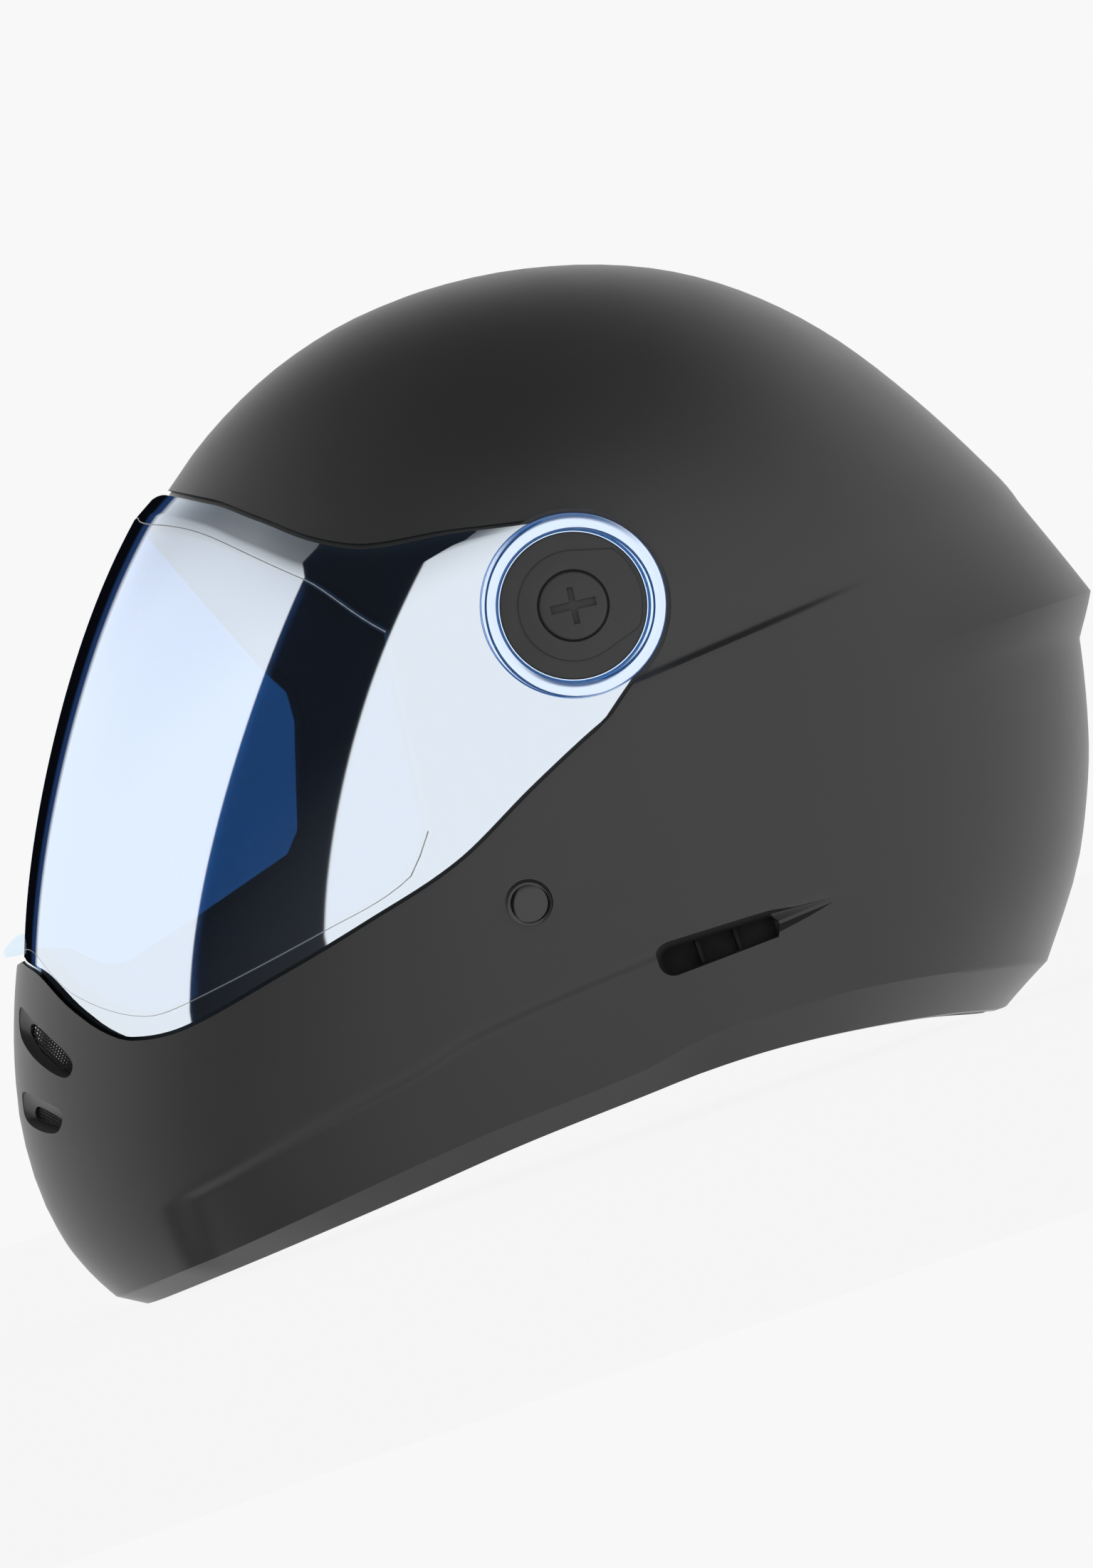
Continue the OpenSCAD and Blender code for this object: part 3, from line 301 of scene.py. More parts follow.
def grown(outline, by):
    """The outline in side view moved outwards by a distance, corner by corner."""
    corners = [Vector(p) for p in outline]
    after = corners[1:] + corners[:1]
    side = math.copysign(1, sum(a.cross(b) for a, b in zip(corners, after)))
    moved = []
    for i, corner in enumerate(corners):
        before_run = (corner - corners[i - 1]).normalized()
        after_run = (after[i] - corner).normalized()
        normal = Vector((before_run[1], -before_run[0])) * side
        next_normal = Vector((after_run[1], -after_run[0])) * side
        middle = (normal + next_normal).normalized()
        moved.append(tuple(corner + middle * by / max(0.5, middle.dot(normal))))
    return moved


pivot_y, pivot_z = 30.3, 156.8


def ear_disc(name, x, height, radius, sides=96):
    """Discs on the pivot's axis at both ears, x mm out from the middle."""
    discs = []
    for s in (-1, 1):
        bpy.ops.mesh.primitive_cylinder_add(vertices=sides, radius=radius * MM, depth=height * MM)
        disc = bpy.context.object
        disc.data.transform(Matrix.Translation(Vector((s * (x + height / 2), pivot_y, pivot_z)) * MM)
            @ Matrix.Rotation(math.radians(90), 4, "Y"))
        discs.append(disc)
    make_active(discs[0])
    discs[1].select_set(True)
    bpy.ops.object.join()
    discs[0].name = name
    return discs[0]


# The visor's own surface and outline, which the shell is cut to; the terms are powers of its height
visor_middle_y, visor_rear = 28, 140
visor_front_terms = (-143.57, 55.12, 21.71, -4.01, 6.01, 11.7)
visor_half_terms = (119.6, -0.45, -23.08, -17.98, -10.54, -4.99)
visor_top_edge = [(-81, 230.6), (-75.5, 230.2), (-62.6, 222.2), (-50.5, 212.1), (-36.1, 200.2),
    (-22.7, 193.6), (1.9, 189.4)]
visor_low_edge = [(-161, 111.2), (-157, 104.9), (-150, 90.7), (-144.7, 83.6), (-137.5, 78.2), (-121.1, 76.1),
    (-87.5, 82.1), (-59.3, 88.1), (-27.6, 96.2), (0.7, 109.9)]
port_edge = [(-205, 224), (-83, 224), (-72.5, 198), (-61.4, 170.7), (-56.2, 161.1), (-56.9, 151), (-67, 119),
    (-73.3, 112), (-108.1, 102.4), (-133.7, 96.2), (-142, 99), (-150, 107), (-158, 110.2), (-205, 110.2)]
ring_r = 28.0
visor_t = 2.3


def visor_axes(z):
    """Front, rear and half width of a level slice of the visor, and its middle."""
    u = (z - widest_z) / 100
    front = sum(term * u ** k for k, term in enumerate(visor_front_terms))
    half = sum(term * u ** k for k, term in enumerate(visor_half_terms))
    return visor_middle_y - front, visor_rear, half, visor_middle_y


def visor_point(z, t, depth=0.0):
    """A point at a depth square under the visor's outer face."""
    x, y = on_slice(visor_axes(z), t)
    x1, y1 = on_slice(visor_axes(z), t + 0.5)
    x2, y2 = on_slice(visor_axes(z), t - 0.5)
    x3, y3 = on_slice(visor_axes(z + 1), t)
    x4, y4 = on_slice(visor_axes(z - 1), t)
    normal = Vector((x1 - x2, y1 - y2, 0)).cross(Vector((x3 - x4, y3 - y4, 2))).normalized()
    return Vector((x, y, z)) - depth * normal


def edge_angles(knots):
    """An edge given in side view as plan angles and heights on the visor."""
    return [(angle_at(visor_axes(z), y), z) for y, z in knots]


def ear_point(a):
    """A place just inside the ear ring, at an angle round the pivot."""
    reach = ring_r - 0.6
    y = pivot_y + reach * math.cos(math.radians(a))
    z = pivot_z + reach * math.sin(math.radians(a))
    return angle_at(visor_axes(z), y), z


top_angle, low_angle = 96.7, 293.3
top_edge = edge_angles(visor_top_edge) + [ear_point(top_angle)]
low_edge = edge_angles(visor_low_edge) + [ear_point(low_angle)]


def along(edge, s):
    """Plan angle and height at the share s of an edge, 0 in the middle and 1 at the ear."""
    t = s * edge[-1][0]
    return t, curve(edge, t)


def side_view(p):
    """y and z of a place on the visor given by its plan angle and height."""
    return on_slice(visor_axes(p[1]), p[0])[1], p[1]


visor_outline = [side_view(along(top_edge, i / 60)) for i in range(61)]
visor_outline += [(pivot_y + ring_r * math.cos(math.radians(a)), pivot_z + ring_r * math.sin(math.radians(a)))
    for a in range(90, -61, -6)]
visor_outline += [side_view(along(low_edge, i / 60)) for i in range(60, -1, -1)]
visor_outline += [(-230, 105), (-230, 232)]
visor_clearance = 1.2
visor_air = 2.9


def visor_core(name, depth, around=144, step=4):
    """All that lies deeper than depth under the visor's outer face."""
    rings = [[visor_point(z, 360 * j / around, depth) for j in range(around)] for z in range(60, 237, step)]
    return closed_mesh(name, rings, (0, 0, 50), (0, 0, 245))


def visor_room(name, extra, around=144, step=4):
    """The room for the visor in the shell, down to the air gap under the sheet."""
    room = capped_bar(name, grown(visor_outline, visor_clearance + extra), -reach_across, reach_across)
    cut(room, visor_core("core", visor_t + visor_air + extra, around, step))
    return room


def shell_hollow(name, inset, around=96):
    """The room inside the shell, following its skin at a distance and open below."""
    turns = [360 * j / around for j in range(around)]

    def ring(z, more=0.0):
        return [shell_point(z, t, inset + more) for t in turns]

    rings = [[Vector((p[0], p[1], -30)) for p in ring(4, 9)]]
    for row in (0, 8, 14, 20):
        shelf = []
        for t in turns:
            z, y = row_place(row, t)
            deep, drop = (turn_in(y), 0.6) if row == 0 else (panel(y), 0)
            shelf.append(shell_point(z, t, inset + deep) - Vector((0, 0, drop)))
        rings.append(shelf)
    rings += [ring(z) for z in (78, 91, 104, 117, 130)]
    for a in (16, 21, 27, 32, 38, 43, 49, 54, 60, 66, 71, 77, 82, 86):
        rings.append(ring(ridge_z + (shell_height - ridge_z) * math.sin(math.radians(a))))
    return closed_mesh(name, rings, (0, -15, -30), (0, crown_y, shell_height - inset))


shell_turns = [360 * j / 216 for j in range(216)]
skin_rings = [[skin_point(row, t) for t in shell_turns] for row in range(len(shell_rows(0)))]
inner_lip = [shell_point(p[2], t, turn_in(p[1]) + 8) for p, t in zip(skin_rings[0], shell_turns)]
shell = closed_mesh("shell", [inner_lip] + skin_rings, (0, -15, 6), (0, crown_y, shell_height))
cut(shell, visor_room("visor_room", 0))
# Round each ear the shell has a flat seat for the pivot, in a round recess as deep as the ring needs
seat_x = half_width(pivot_z) - 4
recess_r = ring_r + visor_clearance
plate_t = 6
cut(shell, ear_disc("ear_plates", seat_x - plate_t, plate_t, recess_r), "UNION")
hollow = shell_hollow("hollow", shell_wall)
cut(hollow, visor_room("inner_room", shell_wall, 72, 16))
cut(hollow, ear_disc("inner_plates", seat_x - shell_wall, 30, recess_r + shell_wall))
cut(shell, hollow)
cut(shell, ear_disc("ear_recess", seat_x, 30, recess_r))
cut(shell, ear_disc("nut_holes", seat_x - 20, 30, 5.0, 32))
cut(shell, capped_bar("eye_port", port_edge, -reach_across, reach_across))
shell.name = "satin_shell"


def skin_normal(y, z):
    """Which way the shell's left side faces at a place in side view."""
    along_y = side_x(y + 0.5, z) - side_x(y - 0.5, z)
    along_z = side_x(y, z + 0.5) - side_x(y, z - 0.5)
    return Vector((1, -along_y, -along_z)).normalized()


def rounded(corners):
    """A ring with its corners cut off three times."""
    ring = [Vector(c) for c in corners]
    for share in (0.18, 0.25, 0.25):
        sides = zip(ring, ring[1:] + ring[:1])
        ring = [p for a, b in sides for p in (a.lerp(b, share), a.lerp(b, 1 - share))]
    return ring


def both_sides(name, rings):
    """A closed tool through rings of points in mm, and its mirror image on the other side."""
    halves = []
    for s in (1, -1):
        turned = [[Vector((s * p[0], p[1], p[2])) for p in ring] for ring in rings]
        ends = [sum(ring, Vector()) / len(ring) for ring in (turned[0], turned[-1])]
        halves.append(closed_mesh(name, turned, ends[0], ends[1]))
    make_active(halves[0])
    halves[1].select_set(True)
    bpy.ops.object.join()
    return halves[0]


# Two vents on each side of the chin, each an opening under a recess that slopes into it
chin_vents = (
    (((-166.6, 99.5), (-170.1, 89.5), (-160.3, 71.2), (-155.7, 77.6)),
        ((-166.9, 93.4), (-169.4, 89.2), (-160.6, 72.6), (-158.1, 75.0))),
    (((-174.9, 74.4), (-176.9, 64.3), (-168.4, 56.9), (-163.9, 64)),
        ((-174.2, 68.6), (-176.3, 64.6), (-168.6, 58.2), (-166.5, 60.0))))
for outer_corners, inner_corners in chin_vents:
    middle = [sum(c[k] for c in outer_corners) / 4 for k in (0, 1)]
    out = skin_normal(*middle)
    outer_ring = [Vector((side_x(y, z), y, z)) for y, z in outer_corners]
    inner_ring = [Vector((side_x(y, z), y, z)) - out * 2.6 for y, z in inner_corners]
    centre = sum(outer_ring, Vector()) / 4
    wide = [p + out * 5 + (p - centre) * 0.3 for p in outer_ring]
    edge_ring = [p - out * 0.2 for p in outer_ring]
    deep_ring = [p - out * 14 for p in inner_ring]
    cut(shell, both_sides("chin_vent", [rounded(r) for r in (wide, edge_ring, inner_ring, deep_ring)]))

# The side vent: a slot with a square end, in a recess that runs out aft to a point
slot_z, slot_half = 46.6, 3.9
slot_front, slot_end = 23.9, 56


def slot_outline(grow, tail_y):
    """The slot in side view: a round front end, a slight taper, and the recess drawn out to a point."""
    half = slot_half + grow
    front = [(slot_front + half * math.cos(a), slot_z + half * math.sin(a))
        for a in (math.radians(90 + 15 * k) for k in range(13))]
    low = [(between(slot_front, slot_end, u), slot_z - between(half, half - 1, u))
        for u in (k / 6 for k in range(1, 7))]
    high = [(y, 2 * slot_z - z) for y, z in reversed(low)]
    tip_z = slot_z + 0.8 + (tail_y - slot_end) * 0.06
    return front + low + [(tail_y, tip_z - 0.8), (tail_y, tip_z + 0.2)] + high


vent_steps = ((3.4, 84, 6), (0.9, 77, 0.6), (0.2, 57.5, -1.6), (0, 56.2, -3.0), (0, 56.2, -30))
vent_rings = [[Vector((side_x(y, slot_z) - panel(y) + lift, y, z)) for y, z in slot_outline(grow, tail_y)]
    for grow, tail_y, lift in vent_steps]
cut(shell, both_sides("side_slot", vent_rings))

# Countersunk seats for the strap rivets
rivet_y, rivet_z = -11.3, 77.1
rivet_x = side_x(rivet_y, rivet_z) - 0.7


def turned_rings(centre_y, centre_z, steps, sides=48):
    """Rings about an axis along x; each step gives x and a radius."""
    turns = [2 * math.pi * k / sides for k in range(sides)]
    return [[Vector((x, centre_y + r * math.cos(a), centre_z + r * math.sin(a))) for a in turns]
        for x, r in steps]


seat_steps = [(rivet_x + rise, r) for rise, r in ((12, 7.2), (1.0, 7.2), (0, 6.9), (-0.01, 2.6), (-60, 2.6))]
cut(shell, both_sides("rivet_seat", turned_rings(rivet_y, rivet_z, seat_steps)))


def grained(name, dark, light, rough, cloud_scale, grain_scale, grain_height, metallic=0.0, gloss=0.5):
    """A finish whose colour and roughness drift a little, over a fine grain; heights are in metres."""
    material = bpy.data.materials.new(name)
    material.use_nodes = True
    nodes, links = material.node_tree.nodes, material.node_tree.links
    shader = nodes["Principled BSDF"]
    place = nodes.new("ShaderNodeTexCoord")
    cloud = nodes.new("ShaderNodeTexNoise")
    cloud.inputs["Scale"].default_value = cloud_scale
    cloud.inputs["Detail"].default_value = 4
    links.new(place.outputs["Object"], cloud.inputs["Vector"])
    shade = nodes.new("ShaderNodeMix")
    shade.data_type = "RGBA"
    shade.inputs["A"].default_value = (*dark, 1)
    shade.inputs["B"].default_value = (*light, 1)
    links.new(cloud.outputs["Fac"], shade.inputs["Factor"])
    links.new(shade.outputs["Result"], shader.inputs["Base Color"])
    dull = nodes.new("ShaderNodeMapRange")
    dull.inputs["From Min"].default_value = 0.3
    dull.inputs["From Max"].default_value = 0.7
    dull.inputs["To Min"].default_value = rough[0]
    dull.inputs["To Max"].default_value = rough[1]
    links.new(cloud.outputs["Fac"], dull.inputs["Value"])
    links.new(dull.outputs["Result"], shader.inputs["Roughness"])
    grain = nodes.new("ShaderNodeTexNoise")
    grain.inputs["Scale"].default_value = grain_scale
    grain.inputs["Detail"].default_value = 3
    links.new(place.outputs["Object"], grain.inputs["Vector"])
    bump = nodes.new("ShaderNodeBump")
    bump.inputs["Strength"].default_value = 0.3
    bump.inputs["Distance"].default_value = grain_height
    links.new(grain.outputs["Fac"], bump.inputs["Height"])
    links.new(bump.outputs["Normal"], shader.inputs["Normal"])
    shader.inputs["Metallic"].default_value = metallic
    shader.inputs["Specular IOR Level"].default_value = gloss
    return material


# Sprayed satin black, very slightly uneven, with the fine pebble of the lacquer
satin_black = grained("satin_black_paint", (0.0180, 0.0180, 0.0185), (0.0230, 0.0230, 0.0235),
    (0.44, 0.5), 14, 900, 0.00004, gloss=0.45)
shell.data.materials.clear()
shell.data.materials.append(satin_black)
make_active(shell)
bpy.ops.object.shade_smooth_by_angle(angle=math.radians(28))
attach(shell, "helmet")
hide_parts("outer_shell")

# The visor is a sheet of clear polycarbonate about 2 mm thick, drawn to a double curve, with a
# blue-silver mirror coat on its outer face. It ends at each ear on the pivot ring.
visor_columns, visor_rows, plain_rows = 110, 46, 40
strip_drop = 1.5


def visor_at(s, row, depth):
    """A point of the sheet: s from -1 to 1 between the ears, row from the lower to the upper edge."""
    low, high = along(low_edge, abs(s)), along(top_edge, abs(s))
    strip = between(5.2, 8.4, fade(0.35, 0.7, abs(s))) * (1 - 0.75 * fade(0.8, 1, abs(s)))
    plain = 1 - strip / (high[1] - low[1])
    if row <= plain_rows:
        u, lean = plain * row / plain_rows, 0
    else:
        lean = (row - plain_rows) / (visor_rows - plain_rows)
        u = plain + (1 - plain) * lean
    depth += strip_drop * lean * (1 - fade(0.82, 1, abs(s)))
    low1, high1 = along(low_edge, 1), along(top_edge, 1)
    pull = abs(s) ** 6
    end = ear_point(between(low_angle, top_angle, u))
    t = between(low[0], high[0], u) + pull * (end[0] - between(low1[0], high1[0], u))
    z = between(low[1], high[1], u) + pull * (end[1] - between(low1[1], high1[1], u))
    return visor_point(z, math.copysign(t, s), depth)


def thick_sheet(name, outer, inner):
    """A sheet between two grids of points, given column by column; its faces go outer, inner, outer ..."""
    rows, columns = len(outer[0]), len(outer)
    layer = rows * columns
    faces = []
    for i in range(columns - 1):
        for j in range(rows - 1):
            a = i * rows + j
            faces.append((a, a + rows, a + rows + 1, a + 1))
            faces.append((layer + a, layer + a + 1, layer + a + rows + 1, layer + a + rows))
    rim = [i * rows for i in range(columns)] + [(columns - 1) * rows + j for j in range(1, rows)]
    rim += [i * rows + rows - 1 for i in range(columns - 2, -1, -1)] + list(range(rows - 2, 0, -1))
    faces += [(a, b, layer + b, layer + a) for a, b in zip(rim, rim[1:] + rim[:1])]
    return mesh_object(name, [p for grid in (outer, inner) for column in grid for p in column], faces)


visor_s = [math.copysign(1 - (1 - abs(k) / visor_columns) ** 1.25, k) if k else 0.0
    for k in range(-visor_columns, visor_columns + 1)]
visor_outer, visor_inner = ([[visor_at(s, row, depth) for row in range(visor_rows + 1)] for s in visor_s]
    for depth in (0, visor_t))
visor = thick_sheet("mirror_visor", visor_outer, visor_inner)
sheet_faces = 4 * visor_columns * visor_rows
for k, face in enumerate(visor.data.polygons):
    face.material_index = 0 if k < sheet_faces and k % 2 == 0 else 1

mirror_coat = bpy.data.materials.new("mirror_coated_face")
mirror_coat.use_nodes = True
nodes, links = mirror_coat.node_tree.nodes, mirror_coat.node_tree.links
silver = nodes["Principled BSDF"]
silver.inputs["Base Color"].default_value = (0.86, 0.93, 1.0, 1)
silver.inputs["Metallic"].default_value = 1.0
silver.inputs["Roughness"].default_value = 0.03
through = nodes.new("ShaderNodeBsdfTransparent")
through.inputs["Color"].default_value = (0.30, 0.62, 1.0, 1)
split = nodes.new("ShaderNodeMixShader")
split.inputs["Fac"].default_value = 0.56
links.new(through.outputs["BSDF"], split.inputs[1])
links.new(silver.outputs["BSDF"], split.inputs[2])
# Seen edge on, the sheet is drawn dark blue and then black by a plain dark shader: painted shade in place of
# its mirror reflection, with some of the deeper tint of the long path through it.
edge_on = nodes.new("ShaderNodeLayerWeight")
edge_on.inputs["Blend"].default_value = 0.5
painted_edge_tone = nodes.new("ShaderNodeValToRGB")
painted_edge_tone.color_ramp.elements[0].position = 0.765
painted_edge_tone.color_ramp.elements[0].color = (0.022, 0.060, 0.190, 1)
painted_edge_tone.color_ramp.elements[1].position = 0.795
painted_edge_tone.color_ramp.elements[1].color = (0.004, 0.005, 0.008, 1)
links.new(edge_on.outputs["Facing"], painted_edge_tone.inputs["Fac"])
# Painted shade: a dark diffuse shader that takes the place of the coat's reflection near edge on
painted_edge_shade = nodes.new("ShaderNodeBsdfDiffuse")
links.new(painted_edge_tone.outputs["Color"], painted_edge_shade.inputs["Color"])
edge_share = nodes.new("ShaderNodeMapRange")
edge_share.inputs["From Min"].default_value = 0.70
edge_share.inputs["From Max"].default_value = 0.735
links.new(edge_on.outputs["Facing"], edge_share.inputs["Value"])
whole = nodes.new("ShaderNodeMixShader")
links.new(edge_share.outputs["Result"], whole.inputs["Fac"])
links.new(split.outputs["Shader"], whole.inputs[1])
links.new(painted_edge_shade.outputs["BSDF"], whole.inputs[2])
links.new(whole.outputs["Shader"], nodes["Material Output"].inputs["Surface"])
visor.data.materials.append(mirror_coat)

clear_plastic = bpy.data.materials.new("clear_polycarbonate")
clear_plastic.use_nodes = True
nodes, links = clear_plastic.node_tree.nodes, clear_plastic.node_tree.links
gloss = nodes["Principled BSDF"]
gloss.inputs["Base Color"].default_value = (0.75, 0.86, 0.98, 1)
gloss.inputs["Metallic"].default_value = 0.9
gloss.inputs["Roughness"].default_value = 0.03
through = nodes.new("ShaderNodeBsdfTransparent")
through.inputs["Color"].default_value = (0.90, 0.96, 1.0, 1)
split = nodes.new("ShaderNodeMixShader")
split.inputs["Fac"].default_value = 0.08
links.new(through.outputs["BSDF"], split.inputs[1])
links.new(gloss.outputs["BSDF"], split.inputs[2])
links.new(split.outputs["Shader"], nodes["Material Output"].inputs["Surface"])
visor.data.materials.append(clear_plastic)
make_active(visor)
bpy.ops.object.shade_smooth_by_angle(angle=math.radians(40))
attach(visor, "visor")
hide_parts("visor_shield")

# The ear rings are thick rounded rings moulded on the ends of the visor, with the same coat. Each
# has a thin lip inside that turns on the pivot hub.
def endless(name, rings):
    """A closed loop through rings of points in mm."""
    n, m = len(rings[0]), len(rings)
    faces = [(i * n + j, i * n + (j + 1) % n, (i + 1) % m * n + (j + 1) % n, (i + 1) % m * n + j)
        for i in range(m) for j in range(n)]
    return mesh_object(name, [p for ring in rings for p in ring], faces)


def finish_piece(obj, material, body, node, angle=35):
    """Gives a piece its finish and its body, smooths it by angle and hides the CAD node that it stands for.
    """
    obj.data.materials.clear()
    obj.data.materials.append(material)
    make_active(obj)
    bpy.ops.object.shade_smooth_by_angle(angle=math.radians(angle))
    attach(obj, body)
    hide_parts(node)


cap_r = 22.1
ring_inner = cap_r + 0.3
ring_round = (ring_r - ring_inner) / 2
ring_top = 8 - ring_round
ring_profile = [(0.5, 18.9), (0.5, ring_r - 0.3), (0.8, ring_r), (ring_top, ring_r)]
ring_profile += [(ring_top + ring_round * math.sin(a), ring_r - ring_round + ring_round * math.cos(a))
    for a in (math.radians(12 * k) for k in range(1, 16))]
ring_profile += [(2.3, ring_inner), (2.3, 18.9)]
ring_coat = mirror_coat.copy()
ring_coat.name = "coated_ring_face"
ring_nodes, ring_links = ring_coat.node_tree.nodes, ring_coat.node_tree.links
inner_split = next(link.from_node for link in ring_links
    if link.to_node.type == "MIX_SHADER" and link.from_node.type == "MIX_SHADER")
ring_links.new(inner_split.outputs["Shader"], ring_nodes["Material Output"].inputs["Surface"])
for side, s in (("left", 1), ("right", -1)):
    steps = [(s * (seat_x + height), r) for height, r in ring_profile]
    ring = endless("coated_ring_" + side, turned_rings(pivot_y, pivot_z, steps, 128))
    finish_piece(ring, ring_coat, "visor", "visor_ring_" + side)

# The finger tab is a clear wedge in the middle of the visor's lower edge, where a thumb lifts it. It
# is moulded in one with the sheet, and its front is round in plan.
def soften(obj, width, segments=3, angle=40):
    """Rounds the edges of a piece that are sharper than the angle."""
    edge = obj.modifiers.new("soft_edges", "BEVEL")
    edge.width = width * MM
    edge.segments = segments
    edge.limit_method = "ANGLE"
    edge.angle_limit = math.radians(angle)
    apply_all(obj)


tab_outline = [(-166.9, 113.0), (-167.3, 113.9), (-166.7, 115.2), (-163.6, 117.2), (-160.6, 118.3),
    (-158.8, 117.8), (-158.8, 111.9), (-163.0, 112.4)]
tab_half, tab_r, tab_middle_y = 15, 18.4, -149
tab = capped_bar("finger_tab", tab_outline, -tab_half, tab_half)
tab_turns = [2 * math.pi * k / 96 for k in range(96)]
tab_curve = [[Vector((tab_r * math.sin(a), tab_middle_y - tab_r * math.cos(a), z)) for a in tab_turns]
    for z in (100, 130)]
tab_tool = closed_mesh("tab_curve", tab_curve, (0, tab_middle_y, 100), (0, tab_middle_y, 130))
cut(tab, tab_tool, "INTERSECT")
soften(tab, 0.5, 2, 30)
finish_piece(tab, clear_plastic, "visor", "visor_tab")

# The inner lens is a clear anti-fog sheet that lies close behind the visor over the eye port. It is
# glued to the visor by a thin bead of pale silicone round its edge.
lens_top = edge_angles([(-86, 224.7), (-70, 214), (-44.9, 190.1), (-27, 167)])
lens_low = edge_angles([(-161, 114.5), (-157.1, 112.1), (-148.6, 95.2), (-131.8, 83.5), (-117.3, 83.3),
    (-71.6, 90.4), (-44, 97), (-34.5, 108)])
lens_columns, lens_rows = 60, 20
lens_depth = visor_t + 0.7
lens_t = 1.2


def lens_column(k, depth):
    """Points of the lens from its lower to its upper edge, in one column."""
    low, high = along(lens_low, abs(k) / lens_columns), along(lens_top, abs(k) / lens_columns)
    shares = [j / lens_rows for j in range(lens_rows + 1)]
    return [visor_point(between(low[1], high[1], u), math.copysign(between(low[0], high[0], u), k), depth)
        for u in shares]


lens_outer, lens_inner = ([lens_column(k, depth) for k in range(-lens_columns, lens_columns + 1)]
    for depth in (lens_depth, lens_depth + lens_t))
lens = thick_sheet("anti_fog_sheet", lens_outer, lens_inner)
finish_piece(lens, clear_plastic, "visor", "anti_fog_lens")

bead_low, bead_high = visor_t + 1.6, -0.06
bead_offset, bead_half = 0.9, 0.45
bead_places = [(lens_low, -1, k) for k in range(-lens_columns, lens_columns + 1)]
bead_places += [(lens_top, 1, k) for k in range(lens_columns, -lens_columns - 1, -1)]
bead_rings = []
for edge, rise, k in bead_places:
    reach = abs(k) / lens_columns
    t, z = along(edge, reach)
    ring = []
    for a in (2 * math.pi * corner / 8 for corner in range(8)):
        off = bead_offset + bead_half * math.cos(a)
        deep = between(bead_low, bead_high, 0.5 + 0.5 * math.copysign(abs(math.sin(a)) ** 0.3, math.sin(a)))
        ring.append(visor_point(z + rise * off, math.copysign(t + 0.6 * off * reach, k), deep))
    bead_rings.append(ring)
bead = endless("silicone_bead", bead_rings)
pale_silicone = grained("pale_silicone", (0.34, 0.34, 0.34), (0.40, 0.40, 0.40), (0.5, 0.6),
    60, 700, 0.00003, gloss=0.2)
finish_piece(bead, pale_silicone, "visor", "lens_bead", angle=60)

# The eye port's seal is an extruded black rubber lip. It is glued inside the port's edge, and the
# shut visor closes on it.
def coat_node(name, material):
    """Gives a piece that keeps its CAD shape its finish."""
    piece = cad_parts[name]
    piece.data.materials.clear()
    piece.data.materials.append(material)


black_rubber = grained("black_rubber", (0.008, 0.008, 0.008), (0.014, 0.014, 0.014), (0.6, 0.75),
    80, 1400, 0.00006, gloss=0.35)
coat_node("eye_port_seal", black_rubber)

# Each ear carries a turned plastic hub on which the ring turns, and a spring steel washer that
# brakes it. The screw holds them against a brass nut behind the shell.
black_acetal = grained("black_acetal", (0.012, 0.012, 0.012), (0.020, 0.020, 0.020), (0.35, 0.45),
    120, 1800, 0.00002)
spring_steel = grained("spring_steel", (0.40, 0.40, 0.42), (0.52, 0.52, 0.54), (0.25, 0.35),
    90, 1600, 0.00002, metallic=1.0)
turned_brass = grained("turned_brass", (0.55, 0.40, 0.16), (0.68, 0.50, 0.22), (0.22, 0.34),
    90, 1500, 0.00002, metallic=1.0)
for side in ("left", "right"):
    coat_node("pivot_hub_" + side, black_acetal)
    coat_node("friction_washer_" + side, spring_steel)
    coat_node("pivot_nut_" + side, turned_brass)

# The pivot cap is a moulded matt black disc with a raised drop on it, held by one large screw of
# the same black, whose cross slot is turned a little.
matt_black = grained("matt_black_moulding", (0.030, 0.030, 0.031), (0.040, 0.040, 0.041), (0.52, 0.62),
    50, 2200, 0.00003, gloss=0.4)
hub_h = 2.7
cap_t = 3.3
cap_face = hub_h + cap_t
pit_floor = cap_face - 1.9
drop_r = 16.6
drop_side = 12.4
drop_end_r = cap_r - 1.4


def ear_outline_piece(name, s, outline, low, high):
    """A flat piece on the ear axis: outline in y and z from the axis, between two heights."""
    x0, x1 = s * (seat_x + low), s * (seat_x + high)
    return capped_bar(name, [(pivot_y + y, pivot_z + z) for y, z in outline], x0, x1)


def disc_outline(r, sides=128):
    """A circle about the ear axis, as an outline in y and z."""
    turns = [2 * math.pi * k / sides for k in range(sides)]
    return [(r * math.cos(a), r * math.sin(a)) for a in turns]


def drop_outline(taper=math.radians(16.5)):
    """A round drop whose straight sides run aft to the cap's edge, drawing together by the taper."""
    first, sweep = math.pi / 2 - taper, math.pi + 2 * taper
    points = [(drop_r * math.cos(a), drop_r * math.sin(a))
        for a in (first + sweep * k / 60 for k in range(61))]
    end = (points[-1][0] + drop_side * math.cos(taper), points[-1][1] + drop_side * math.sin(taper))
    arc = math.atan2(end[1], end[0])
    points.append(end)
    points += [(drop_end_r * math.cos(a), drop_end_r * math.sin(a))
        for a in (between(arc, -arc, k / 24) for k in range(1, 25))]
    return points


def slot_bar(u, v, turn=math.radians(-6.5)):
    """One bar of the screw's cross slot, which stands a little askew; u and v are its half sizes."""
    c, s = math.cos(turn), math.sin(turn)
    return [(a * c - b * s, a * s + b * c) for a, b in ((-u, -v), (u, -v), (u, v), (-u, v))]


